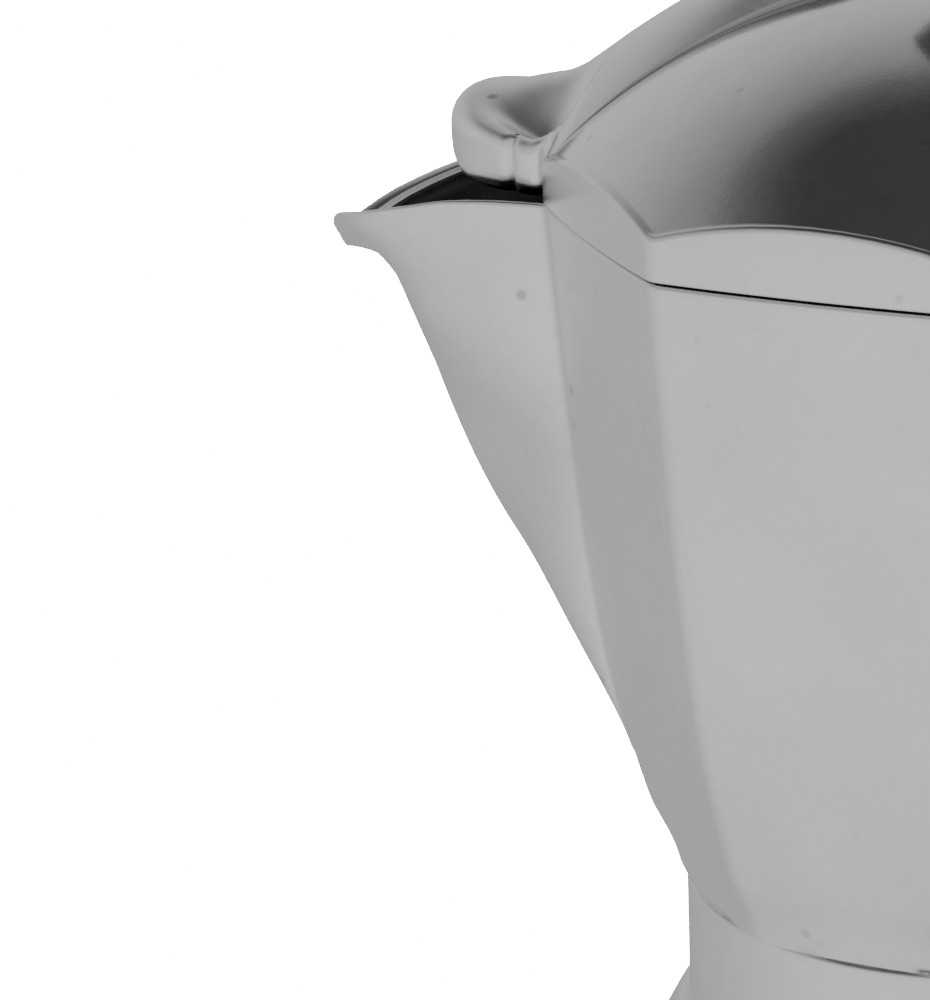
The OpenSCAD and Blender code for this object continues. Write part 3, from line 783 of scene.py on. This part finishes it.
class MakeCastBody(bpy.types.Operator):
    """Cast upper body with its spout, screw collar and handle bracket"""

    bl_idname = "moka.cast_body"
    bl_label = "Cast body"

    def execute(self, context):
        sizes = context.scene.moka_sizes
        e, soft, wall = sizes.edge_round / MM, sizes.corner_soft / MM, sizes.wall / MM
        rings = []
        for a in np.radians(np.linspace(90, 0, 5)):
            rings.append(shift(body_ring(0, e * (1 - math.cos(a)), soft), e * (math.sin(a) - 1)))
        for t in levels_down(1.0):
            ring = body_ring(t, 0, soft)
            rings.append(to_round(ring, COLLAR_R + 0.3, 0.4 * float(ease((t - 0.9) / 0.1))))
        outside = len(rings)
        riser_r, fillet = 9.2, 3
        for r, z in ((COLLAR_R - 0.25, WAIST_Z - 0.12), (COLLAR_R - 1.5, WAIST_Z - 0.05),
                     (riser_r, WAIST_Z + 5), (riser_r, CHAMBER_Z)):
            rings.append(circle_like(rings[-1], r, z))
        floor = (RIM_Z - CHAMBER_Z) / COLLECTOR_H
        inside = []
        for t in levels_down(floor - 0.04):
            inside.append(body_ring(t, wall, soft * 0.7))
        last = body_ring(floor, wall, soft * 0.7)
        inner_r = float(np.linalg.norm(last[:, :2], axis=1).min())
        for a in np.radians(np.linspace(10, 90, 5)):
            reach = 1 - fillet * (1 - math.cos(a)) / inner_r
            inside.append(last * (reach, reach, 0) + (0, 0, CHAMBER_Z + fillet * (1 - math.sin(a))))
        inside.append(mix(inside[-1], circle_like(last, riser_r, CHAMBER_Z), 0.5))
        rings += inside[::-1]
        for a in np.radians(np.linspace(0, 75, 4)):
            rings.append(shift(body_ring(0, wall - e * (1 - math.cos(a)), soft * 0.8), e * (math.sin(a) - 1)))
        shell = closed_rings("cast_body", rings, 50, loop=True)
        n = len(rings[0])
        shell.data.materials.append(finish("cast"))
        shell.data.materials.append(finish("chamber"))
        index = np.zeros(len(shell.data.polygons), np.int32)
        index[(outside + 3) * n:(len(rings) - 5) * n] = 1
        shell.data.polygons.foreach_set("material_index", index)

        collar = lathe("screw_collar", [(9.3, WAIST_Z + 5), (COLLAR_R - 0.9, WAIST_Z + 0.6)]
                       + arc(COLLAR_R - 0.4, WAIST_Z - 0.55, 0.4, 90, 0, 4)
                       + arc(COLLAR_R - 0.6, COLLAR_Z + 0.6, 0.6, 0, -90, 5)
                       + [(NECK_R + 1.6, COLLAR_Z), (NECK_R + 0.86, COLLAR_Z + 0.7), (NECK_R + 0.86, 87.8),
                          (31.1, 87.8), (31.1, 88.85), (28.5, 88.85), (28.5, 90.4), (9.3, 90.4)], 192)
        bx0, bx1 = RIM_R * APOTHEM - 2.5, RIM_R * APOTHEM + 6
        tz, ex = RIM_Z - 16, 53.6 * APOTHEM + 1.3
        ear = convex_outline(disc_points(HINGE_X, HINGE_Z, 3.35) + box_points(ex, bx1, tz, tz + 12))
        parts = [shell, collar]
        for y in (-9.3, 5.8):
            parts.append(slab("ear", ear, y, y + 3.5, 0.5))
        parts.append(slab("bracket", box_points(bx0, bx1, tz, tz + 12), -9.3, 9.3, 0.8))
        parts.append(slab("tongue", box_points(bx0, bx0 + 21.4, tz, tz + 7), -4.5, 4.5, 0.5))
        for part in parts[1:]:
            part.data.materials.append(finish("cast"))
        thread = wound("collar_thread", finish("cast"), NECK_R + 0.95, THREAD_FOOT_Z, THREAD_FOOT_Z + 11,
                       sizes.thread_turns, 0.85)
        body = joined("cast_body", parts + [thread])
        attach(body, "collector")
        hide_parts("collector")
        return {"FINISHED"}


def dome(r):
    """Height of the plain dome above the rim at a distance from the axis."""
    return DOME_Z + np.sqrt(np.maximum(DOME_R**2 - np.square(r), 0))


# The hood's crest: height above the rim by the distance from the axis towards the spout.
hood_crest = curve_through([0, 9, 14, 20, 27, 33.8, 40.8, 45.8, 50.8, 53.6, 57, 61, 65.6, 69, 74],
                           [27.8, 28.6, 29.9, 30.3, 28.4, 25.2, 21.2, 18.0, 14.6, 12.7, 11.4, 11.0,
                            10.6, 10.2, 9.8])


def nose_w(x):
    """Half width of the nose at a distance from the axis towards the spout."""
    share = np.clip((x - NOSE_ROOT) / (NOSE_REACH - NOSE_ROOT), 0, 1)
    return NOSE_HALF_W * np.sqrt(1 - share**2)


def lid_height(p):
    """Height of the lid's top above the rim at points in the plane."""
    x, y = -p[:, 0], np.abs(p[:, 1])
    r = np.hypot(x, y)
    plain_dome = dome(r)
    edge = dome(np.minimum(np.maximum(x, 0) / APOTHEM, RIM_R)) + 1.15 * (1 - np.clip(x / NOSE_ROOT, 0, 1))
    v = np.clip(y / np.maximum(x * math.tan(HALF), 0.01), 0, 1)
    crest = hood_crest(np.maximum(x, 0))
    arch = edge + (crest - edge) * (1 - v**2)
    along = np.clip(x - NOSE_ROOT, 0, None) / (NOSE_REACH - NOSE_ROOT)
    ring = np.clip(np.hypot(along, y / NOSE_HALF_W), 0, 1)
    ahead = along / np.maximum(ring, 0.01)
    share = ahead**2
    brim = mix(6.2, 9.6, share) - 0.5 * np.clip((ring - 0.86) / 0.14, 0, 1) ** 2
    trough = mix(4.4, 9.2, share)
    bowl = trough + (brim - trough) * ease((ring - 0.66) / 0.24)
    lobe = np.clip(1 - (y / 11.5) ** 2, 0, 1) ** 2 * (1 - ease((ring - 0.35) / 0.6))
    nose = bowl + (np.maximum(hood_crest(x), 9.6) - bowl) * lobe
    hood = mix(arch, nose, ease((x - NOSE_ROOT + 3) / 8))
    side = np.degrees(np.arctan2(y, x))
    inside = ease((math.degrees(HALF) - side) / 0.16 + 0.5) * (x > 0)
    return mix(plain_dome, hood, inside)


LID_ARC = np.array([0, 0.2, 0.36, 0.44, 0.475, 0.49, 0.5, 0.51, 0.525, 0.56, 0.64, 0.8, 1.0])


def lid_outline():
    """Plan of the lid: an octagon with soft corners and a nose over the spout."""
    r, soft = RIM_R + 0.3, 1.3
    reach = soft / (2 * r * math.sin(HALF))
    points = []

    def side(k, s):
        a, b = octagon_corner(k, r), octagon_corner(k + 1, r)
        out = np.array([math.cos(2 * HALF * (k + 1)), math.sin(2 * HALF * (k + 1))])
        s = np.atleast_1d(s)[:, None]
        straight = 0 if k == 3 else 1
        return mix(a, b, s) + out * SIDE_BOW * straight * 4 * s * (1 - s)
    for k in range(8):
        start, end = side((k - 1) % 8, 1 - reach)[0], side(k, reach)[0]
        points.append(bezier(start, octagon_corner(k, r), end, LID_ARC))
        if k == 3:
            x = np.concatenate([np.linspace(0.6, 9, 14), np.linspace(9.8, 19, 12),
                                [20.0, 20.9, 21.7, 22.35, 22.9, 23.3, 23.58]])
            x = NOSE_ROOT + x * (NOSE_REACH - NOSE_ROOT) / 23.75
            w = nose_w(x)
            cut = 0.9 * np.exp(-((x - 51.2) / 0.75) ** 2) + 0.9 * np.exp(-((x - 56.0) / 0.6) ** 2)
            half = np.column_stack([-x, w - cut])
            root = [[-NOSE_ROOT - out, width]
                    for out, width in ((0.15, 19.2), (0.15, 18.4), (0.2, 17.6), (0.3, 17.0))]
            half = np.concatenate([root, half])
            points += [half, [[-NOSE_REACH, 0]], half[::-1] * (1, -1)]
        else:
            points.append(side(k, mix(reach, 1 - reach, SIDE_T)))
    return np.concatenate(points)


class MakeLid(bpy.types.Operator):
    """Domed lid with its raised hood, the nose over the spout and the hinge knuckle"""

    bl_idname = "moka.lid"
    bl_label = "Lid"

    def execute(self, context):
        bore, thick = 2.1, 2.2
        outline = lid_outline()
        ahead = np.roll(outline, -1, 0) - np.roll(outline, 1, 0)
        out = np.column_stack([ahead[:, 1], -ahead[:, 0]])
        out /= np.linalg.norm(out, axis=1)[:, None]
        for _ in range(6):
            out = (np.roll(out, 1, 0) + 2 * out + np.roll(out, -1, 0)) / 4
            out /= np.linalg.norm(out, axis=1)[:, None]
        x = -outline[:, 0]
        on_nose = ease((x - NOSE_ROOT - 0.5) / 2.5)
        tip = ease((x - NOSE_REACH + 9) / 8)
        edge = mix(mix(0.8, 1.5, on_nose), 3.6, tip)
        low = mix(mix(0.3, -0.3, on_nose), -1.3, tip)
        under_in, under_up = mix(mix(0.4, 0.9, on_nose), 2.8, tip), mix(mix(0.4, 1.6, on_nose), 5.0, tip)

        def at(inset, z):
            return np.column_stack([outline - out * np.asarray(inset)[..., None], z])
        inner = outline - out * edge[:, None]
        far = np.linalg.norm(inner, axis=1)
        hole = inner / far[:, None] * bore
        rings = []
        for w in np.concatenate([np.linspace(0, 0.9, 46), np.linspace(0.915, 1, 12)]):
            p = mix(hole, inner, w)
            rings.append(np.column_stack([p, lid_height(p)]))
        top = rings[-1][:, 2]
        for a in np.radians(np.linspace(75, 0, 6)):
            rings.append(at(edge * (1 - math.cos(a)), top - edge * (1 - math.sin(a))))
        for w in (0.35, 0.7):
            rings.append(at(edge * 0, mix(top - edge, low + under_up, w)))
        for a in np.radians(np.linspace(0, 90, 6)):
            rings.append(at(under_in * (1 - math.cos(a)), low + under_up * (1 - math.sin(a))))
        wall = np.maximum(under_in + 0.6, thick)
        rings.append(at(wall, low))
        roof_in = outline - out * (wall + 0.8)[:, None]
        far = np.linalg.norm(roof_in, axis=1)
        hole_in = roof_in / far[:, None] * bore
        for w in np.concatenate([np.linspace(1, 0.7, 6), np.linspace(0.62, 0, 14)]):
            p = mix(hole_in, roof_in, w)
            rings.append(np.column_stack([p, np.maximum(lid_height(p) - thick, low + 0.5)]))
        rings = [shift(r, RIM_Z) for r in rings]
        shell = closed_rings("lid_shell", rings, 55, loop=True)
        seat = lathe("knob_seat", [(bore, KNOB_Z)] + arc(8.4, KNOB_Z - 0.6, 0.6, 90, 0, 4)
                     + [(9.4, KNOB_Z - 1.4), (10.6, KNOB_Z - 2.2), (10.6, KNOB_Z - 3.2),
                        (bore, KNOB_Z - 3.9)], 96)
        knuckle = slab("knuckle", convex_outline(disc_points(HINGE_X, HINGE_Z, 3.15)
                       + box_points(NOSE_ROOT - 3, NOSE_ROOT - 1, RIM_Z + 0.4, RIM_Z + 6.4)),
                       -5.45, 5.45, 0.45)
        lid = joined("lid_shell", [shell, seat, knuckle])
        placed(lid, "lid", "cast_aluminium", finish("cast"), "lid")
        return {"FINISHED"}


class MakeKnob(bpy.types.Operator):
    """Moulded knob with shallow flutes"""

    bl_idname = "moka.knob"
    bl_label = "Knob"

    def execute(self, context):
        r, h, foot = 12.5, 24.0, 7.5
        neck = bezier((foot, 1.5), (foot - 1.5, h * 0.45), (r, h * 0.72), np.linspace(0, 1, 15))
        neck = [tuple(p) for p in neck]
        profile = ([(0, h + 0.55), (r * 0.3, h + 0.5), (r * 0.55, h + 0.25)]
                   + arc(r - 4, h - 3.4, 4, 80, 2, 8)[:0:-1][::-1] + neck[::-1]
                   + arc(foot - 0.5, 0.5, 0.5, 0, -90, 4) + [(3.3, 0), (3.3, 9.9), (0, 9.9)])

        def flutes(angle, radius, z):
            return 1 - 0.03 * ease((z - 6) / 8) * ease((h - z) / 3) * (0.5 + 0.5 * np.cos(8 * angle)) ** 2
        knob = lathe("knob_grip", profile, 192, "Z", (0, 0, KNOB_Z), 40, flutes)
        placed(knob, "lid", "bakelite", finish("resin"), "knob")
        return {"FINISHED"}


class MakeHandle(bpy.types.Operator):
    """Moulded handle, swept along its bent centreline"""

    bl_idname = "moka.handle"
    bl_label = "Handle"

    def execute(self, context):
        low, high = cad_low("handle"), cad_high("handle")
        arm_z, out_x = RIM_Z - 12.5, high[0] - 6.5
        # Points of the centreline: distance from the axis, height and thickness.
        path = np.array([(low[0] + 0.2, arm_z, 12.4), (low[0] + 8, arm_z + 0.3, 13.0),
                         (out_x - 11, arm_z + 0.8, 13.4), (out_x - 4, arm_z - 1.0, 13.0),
                         (out_x - 0.6, arm_z - 8, 12.8), (out_x - 0.4, arm_z - 18, 12.8),
                         (out_x - 2, arm_z - 36, 12.8), (out_x - 6.5, arm_z - 54, 11.6),
                         (out_x - 10, low[2] + 5.4, 10.4)])
        share = np.concatenate([[0], np.cumsum(np.linalg.norm(np.diff(path[:, :2], axis=0), axis=1))])
        share /= share[-1]
        lines = [curve_through(share, path[:, i]) for i in range(3)]
        count = 90
        s = steps(0, 1, count, 0.2)
        x, z, thick = (line(s) for line in lines)
        for _ in range(10):
            x[1:-1], z[1:-1] = (x[:-2] + 2 * x[1:-1] + x[2:]) / 4, (z[:-2] + 2 * z[1:-1] + z[2:]) / 4
        along = np.gradient(np.column_stack([x, z]), axis=0)
        along /= np.linalg.norm(along, axis=1)[:, None]
        a = np.linspace(0, 2 * math.pi, 56, endpoint=False)
        square = 3.4
        cx = np.sign(np.cos(a)) * np.abs(np.cos(a)) ** (2 / square)
        cy = np.sign(np.sin(a)) * np.abs(np.sin(a)) ** (2 / square)
        rings = []
        ends = np.minimum(np.arange(count), np.arange(count)[::-1]) / 5.0
        for i in range(count):
            shrink = math.sqrt(max(1 - (1 - min(ends[i], 1)) ** 2, 0.03)) if ends[i] < 1 else 1
            waist = 1 - 0.05 * math.sin(math.pi * float(ease((s[i] - 0.35) / 0.6)))
            n = np.array([along[i][1], -along[i][0]])
            t, w = thick[i] / 2 * shrink, 8.45 * mix(shrink, 1, 0.3) * waist
            rings.append(np.column_stack([x[i] + n[0] * t * cx, w * cy, z[i] + n[1] * t * cx]))
        handle = closed_rings("handle_grip", rings, 60)
        placed(handle, "collector", "bakelite", finish("resin"), "handle")
        return {"FINISHED"}


def boiler_r(z):
    """Corner radius of the boiler's outside at a height."""
    if z < 4:
        return mix(FOOT_R - 2, FOOT_R, float(ease(z / 4)))
    if z < BOILER_H - 14:
        return mix(FOOT_R, SHOULDER_R, (z - 4) / (BOILER_H - 18))
    a, b, c = SHOULDER_R, SHOULDER_R - 2.4, NECK_R + 4.2
    t = (z - BOILER_H + 14) / 14
    return a * (1 - t) ** 2 + 2 * b * t * (1 - t) + c * t * t


def boiler_ring(z, soft):
    """One level of the boiler, octagonal below and round at the shoulder's top."""
    r = boiler_r(z)
    points = []
    reach = soft / (2 * r * math.sin(HALF))
    for k in range(8):
        a, b, before = octagon_corner(k, r), octagon_corner(k + 1, r), octagon_corner(k - 1, r)
        points.append(bezier(mix(before, a, 1 - reach), a, mix(a, b, reach), ARC_T))
        points.append(mix(a, b, mix(reach, 1 - reach, SIDE_T)[:, None]))
    ring = np.column_stack([np.concatenate(points), np.full(8 * (len(ARC_T) + len(SIDE_T)), z)])
    return to_round(ring, r, float(ease((z - BOILER_H + 10) / 10)))


class MakeBoiler(bpy.types.Operator):
    """Cast boiler with its threaded neck and valve boss"""

    bl_idname = "moka.boiler"
    bl_label = "Boiler"

    def execute(self, context):
        sizes = context.scene.moka_sizes
        soft = sizes.corner_soft / MM
        base = boiler_ring(2, soft)
        bore_r, thread_r = 29.8, 33.15
        fillet = [(47.3 - 4 * (1 - math.sin(a)), 7 - 4 * math.cos(a)) for a in np.radians([15, 40, 65, 90])]
        inside = [(1, 3), (20, 3), (40, 3), *fillet, (39.5, 54), (36, 60), (bore_r, 64.2)]
        neck = [(bore_r, NECK_TOP - 0.5), (bore_r + 0.5, NECK_TOP), (32.2, NECK_TOP),
                (thread_r, NECK_TOP - 0.9), (thread_r, BOILER_H + 1.4), (33.4, BOILER_H + 0.6),
                (34.4, BOILER_H)]
        rings = [circle_like(base, r, z) for r, z in inside + neck]
        top = boiler_ring(BOILER_H, soft)
        rings += [circle_like(top, boiler_r(BOILER_H) - 1.0, BOILER_H),
                  circle_like(top, boiler_r(BOILER_H) - 0.3, BOILER_H - 0.15)]
        for z in np.concatenate([[BOILER_H - 0.6], np.linspace(BOILER_H - 1.6, BOILER_H - 14, 16),
                                 np.linspace(BOILER_H - 17, 6, 14), [4, 3, 2, 1.2, 0.7, 0.35]]):
            rings.append(boiler_ring(z, soft))
        low = boiler_ring(0, soft)
        for inset, z in ((0.25, 0.12), (0.7, 0), (4.0, 0), (4.6, 0.25), (6.5, 0.25), (7.0, 0)):
            size = 1 - inset / FOOT_R
            rings.append(low * (size, size, 0) + (0, 0, z))
        grooves = [(30, 0), (29.7, 0.3), (28.7, 0.3), (28.4, 0), (15, 0), (14.7, 0.3), (13.7, 0.3),
                   (13.4, 0), (1, 0)]
        rings += [circle_like(base, r, z) for r, z in grooves]
        shell = closed_rings("boiler_shell", rings, 45)
        face = boiler_r(VALVE_Z) * APOTHEM + 1.8
        boss = lathe("boss", [(0, face), (7.2, face)] + arc(7.2, face - 0.8, 0.8, 90, 0, 4)
                     + [(8.0, face - 1.6), (8.6, face - 2.4), (8.6, face - 5), (0, face - 5)], 64, "-Y",
                     (0, 0, VALVE_Z))
        thread = wound("neck_thread", finish("cast"), thread_r, THREAD_FOOT_Z, THREAD_FOOT_Z + 9.7,
                       sizes.thread_turns, 0.8)
        boiler = joined("boiler_shell", [shell, boss, thread])
        placed(boiler, "boiler", "cast_aluminium", finish("cast"), "boiler")
        return {"FINISHED"}


class MakeValve(bpy.types.Operator):
    """Wound spring of the safety valve, kept clear of the pin's travel"""

    bl_idname = "moka.valve"
    bl_label = "Safety valve"

    def execute(self, context):
        low, high = cad_low("valve_spring"), cad_high("valve_spring")
        spring = wound("valve_coil", finish("steel"), 2.1, -high[1] + 1.8, -low[1] - 0.5,
                       context.scene.moka_sizes.spring_turns, 0.42, 40)
        lying = Matrix.Rotation(math.radians(90), 4, "X")
        spring.data.transform(Matrix.Translation((0, 0, VALVE_Z * MM)) @ lying)
        placed(spring, "boiler", "spring_steel", finish("steel"), "valve_spring")
        return {"FINISHED"}


class MakePlates(bpy.types.Operator):
    """Perforated filter plate and funnel sieve"""

    bl_idname = "moka.plates"
    bl_label = "Perforated plates"

    def execute(self, context):
        rings = context.scene.moka_sizes.plate_rings
        for name, body, pierced_r in (("filter_plate", "filter", 24.5), ("funnel_sieve", "funnel", 23.5)):
            low, high = cad_low(name), cad_high(name)
            plate = perforated(name + "_holes", finish("pressed"), high[0], low[2], high[2], 0.55,
                               pierced_r / rings, rings)
            placed(plate, body, "pressed_aluminium", finish("pressed"), name)
        return {"FINISHED"}


NODE_FINISHES = {
    "valve_body": "brass", "valve_poppet": "brass", "valve_cap": "brass", "valve_washer": "fibre",
    "valve_seal": "silicone", "funnel": "pressed", "gasket": "silicone", "riser_column": "cast",
    "hinge_pin": "steel", "knob_insert": "brass", "knob_screw": "steel", "knob_washer": "pressed",
    "handle_screw": "steel",
}


class FinishKeptParts(bpy.types.Operator):
    """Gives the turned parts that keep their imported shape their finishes"""

    bl_idname = "moka.kept_parts"
    bl_label = "Turned parts"

    def execute(self, context):
        for name, kind in NODE_FINISHES.items():
            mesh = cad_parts[name].data
            mesh.materials.clear()
            mesh.materials.append(finish(kind))
        return {"FINISHED"}


def soft_panel(name, place, aim, width, watts):
    """A square area light that the polished metal doesn't mirror."""
    light = bpy.data.lights.new(name, "AREA")
    light.shape, light.size, light.energy = "SQUARE", width, watts
    obj = bpy.data.objects.new(name, light)
    obj.location = place
    obj.rotation_euler = (Vector(aim) - Vector(place)).to_track_quat("-Z", "Y").to_euler()
    obj.visible_glossy = False
    bpy.context.scene.collection.objects.link(obj)


# Brightness of the room by how straight overhead a direction is: pale walls, a dark opening on top.
ROOM_WALLS = [(0.0, 0.68), (0.40, 0.66), (0.62, 0.54), (0.77, 0.37), (0.85, 0.27), (0.895, 0.14),
              (0.95, 0.06)]


def soft_room(strength):
    """A soft tent of light: pale walls, a brighter floor in front and a dark opening overhead."""
    world = bpy.data.worlds.new("room")
    world.use_nodes = True
    room = NodeMaker(world.node_tree)
    x, y, z = room.node("ShaderNodeTexCoord", {}, {}, "Generated").axes()
    stops = [(at, (grey, grey, grey, 1)) for at, grey in ROOM_WALLS]
    fade = room.node("ShaderNodeValToRGB", {"stops": stops}, {0: x * -0.20 + z * 0.98})
    walls = room.node("ShaderNodeSeparateColor", {}, {0: fade})
    floor = 0.50 + clamped(0.42 - y * 0.62) * 0.52
    level = walls + (floor - walls) * (1 - z.above(-0.06, 0.16))
    tint = room.mixed(clamped(y * 0.8 + 0.1), (1, 1, 1, 1), (0.95, 0.965, 1.0, 1))
    light = room.tree.nodes["Background"]
    room.tree.links.new(tint.socket, light.inputs["Color"])
    room.tree.links.new((level * strength).socket, light.inputs["Strength"])
    return world


def lit_paper(glow):
    """Pale paper that burns out to white away from the pot."""
    paper = Finish("pale_paper", Roughness=0.9, Base_Color=(0.85, 0.85, 0.85, 1), Emission_Strength=glow)
    away = paper.node("ShaderNodeVectorMath", {"operation": "LENGTH"}, {0: paper.place}, "Value")
    level = away.above(0.13, 0.11) ** 2.0 * 0.97 + 0.03
    paper.set("Emission Color", paper.mixed(level, (0, 0, 0, 1), (1, 1, 1, 1)))
    return paper.material


class MakeStage(bpy.types.Operator):
    """Camera, bowl of pale paper, soft room and overhead panel"""

    bl_idname = "moka.stage"
    bl_label = "Stage"

    def execute(self, context):
        scene, look = context.scene, context.scene.moka_stage
        yaw, pitch, roll = math.radians(29.452), math.radians(17.227), math.radians(2.0)
        ahead = Vector((-math.sin(yaw) * math.cos(pitch), math.cos(yaw) * math.cos(pitch), -math.sin(pitch)))
        right = Vector((math.cos(yaw), math.sin(yaw), 0))
        down = ahead.cross(right)
        across = math.cos(roll) * right + math.sin(roll) * down
        below = -math.sin(roll) * right + math.cos(roll) * down
        camera = bpy.data.objects.new("camera", bpy.data.cameras.new("camera"))
        camera.data.lens, camera.data.sensor_fit = look.lens, "VERTICAL"
        camera.data.sensor_height = 36
        camera.data.clip_start, camera.data.clip_end = 0.05, 20
        turn = Matrix((across, -below, -ahead)).transposed().to_4x4()
        # The camera's place from the middle of the rim, in rim radii.
        place = Vector((4.27267, -9.99291, 2.69959))
        centre = place * RIM_R * MM + Vector((0, 0, RIM_Z * MM))
        camera.matrix_world = Matrix.Translation(centre) @ turn
        scene.collection.objects.link(camera)
        scene.camera = camera

        scene.world = soft_room(look.sky)

        bowl_r, bend, wall_top, thick = 6000, 1500, 5000, 20
        line = [(0, 0)] + arc(bowl_r - bend, bend, bend, -90, 0, 16) + [(bowl_r, wall_top)]
        line += [(r + thick, z) for r, z in line[:0:-1]] + [(0, -thick)]
        sweep = lathe("sweep", line[::-1], 96)
        sweep.data.materials.append(lit_paper(look.paper))
        sweep.visible_glossy = sweep.visible_diffuse = False
        soft_panel("overhead", (0.1, -0.1, 1.1), (0, 0, 0.12), 1.4, look.card)
        return {"FINISHED"}


class PotPanel(bpy.types.Panel):
    """Sizes, colours and pieces of the coffee maker"""

    bl_idname = "VIEW3D_PT_moka"
    bl_label = "Moka pot"
    bl_space_type = "VIEW_3D"
    bl_region_type = "UI"
    bl_category = "Moka pot"

    def draw(self, context):
        scene = context.scene
        for group in (scene.moka_sizes, scene.moka_look, scene.moka_stage):
            box = self.layout.box()
            for name in group.bl_rna.properties.keys():
                if name not in ("rna_type", "name"):
                    box.prop(group, name)
        for piece in PIECES:
            self.layout.operator(piece.bl_idname)


PIECES = (MakeCastBody, MakeLid, MakeKnob, MakeHandle, MakeBoiler, MakeValve, MakePlates, FinishKeptParts,
          MakeStage)
GROUPS = {"moka_sizes": PotSizes, "moka_look": PotLook, "moka_stage": StageLook}


def register():
    for kind in (*GROUPS.values(), *PIECES, PotPanel):
        bpy.utils.register_class(kind)
    for name, kind in GROUPS.items():
        setattr(bpy.types.Scene, name, bpy.props.PointerProperty(type=kind))


def unregister():
    for name in GROUPS:
        delattr(bpy.types.Scene, name)
    for kind in (PotPanel, *PIECES[::-1], *GROUPS.values()):
        bpy.utils.unregister_class(kind)


def main():
    register()
    for piece in PIECES:
        group, call = piece.bl_idname.split(".")
        getattr(getattr(bpy.ops, group), call)()


if __name__ == "__main__":
    main()
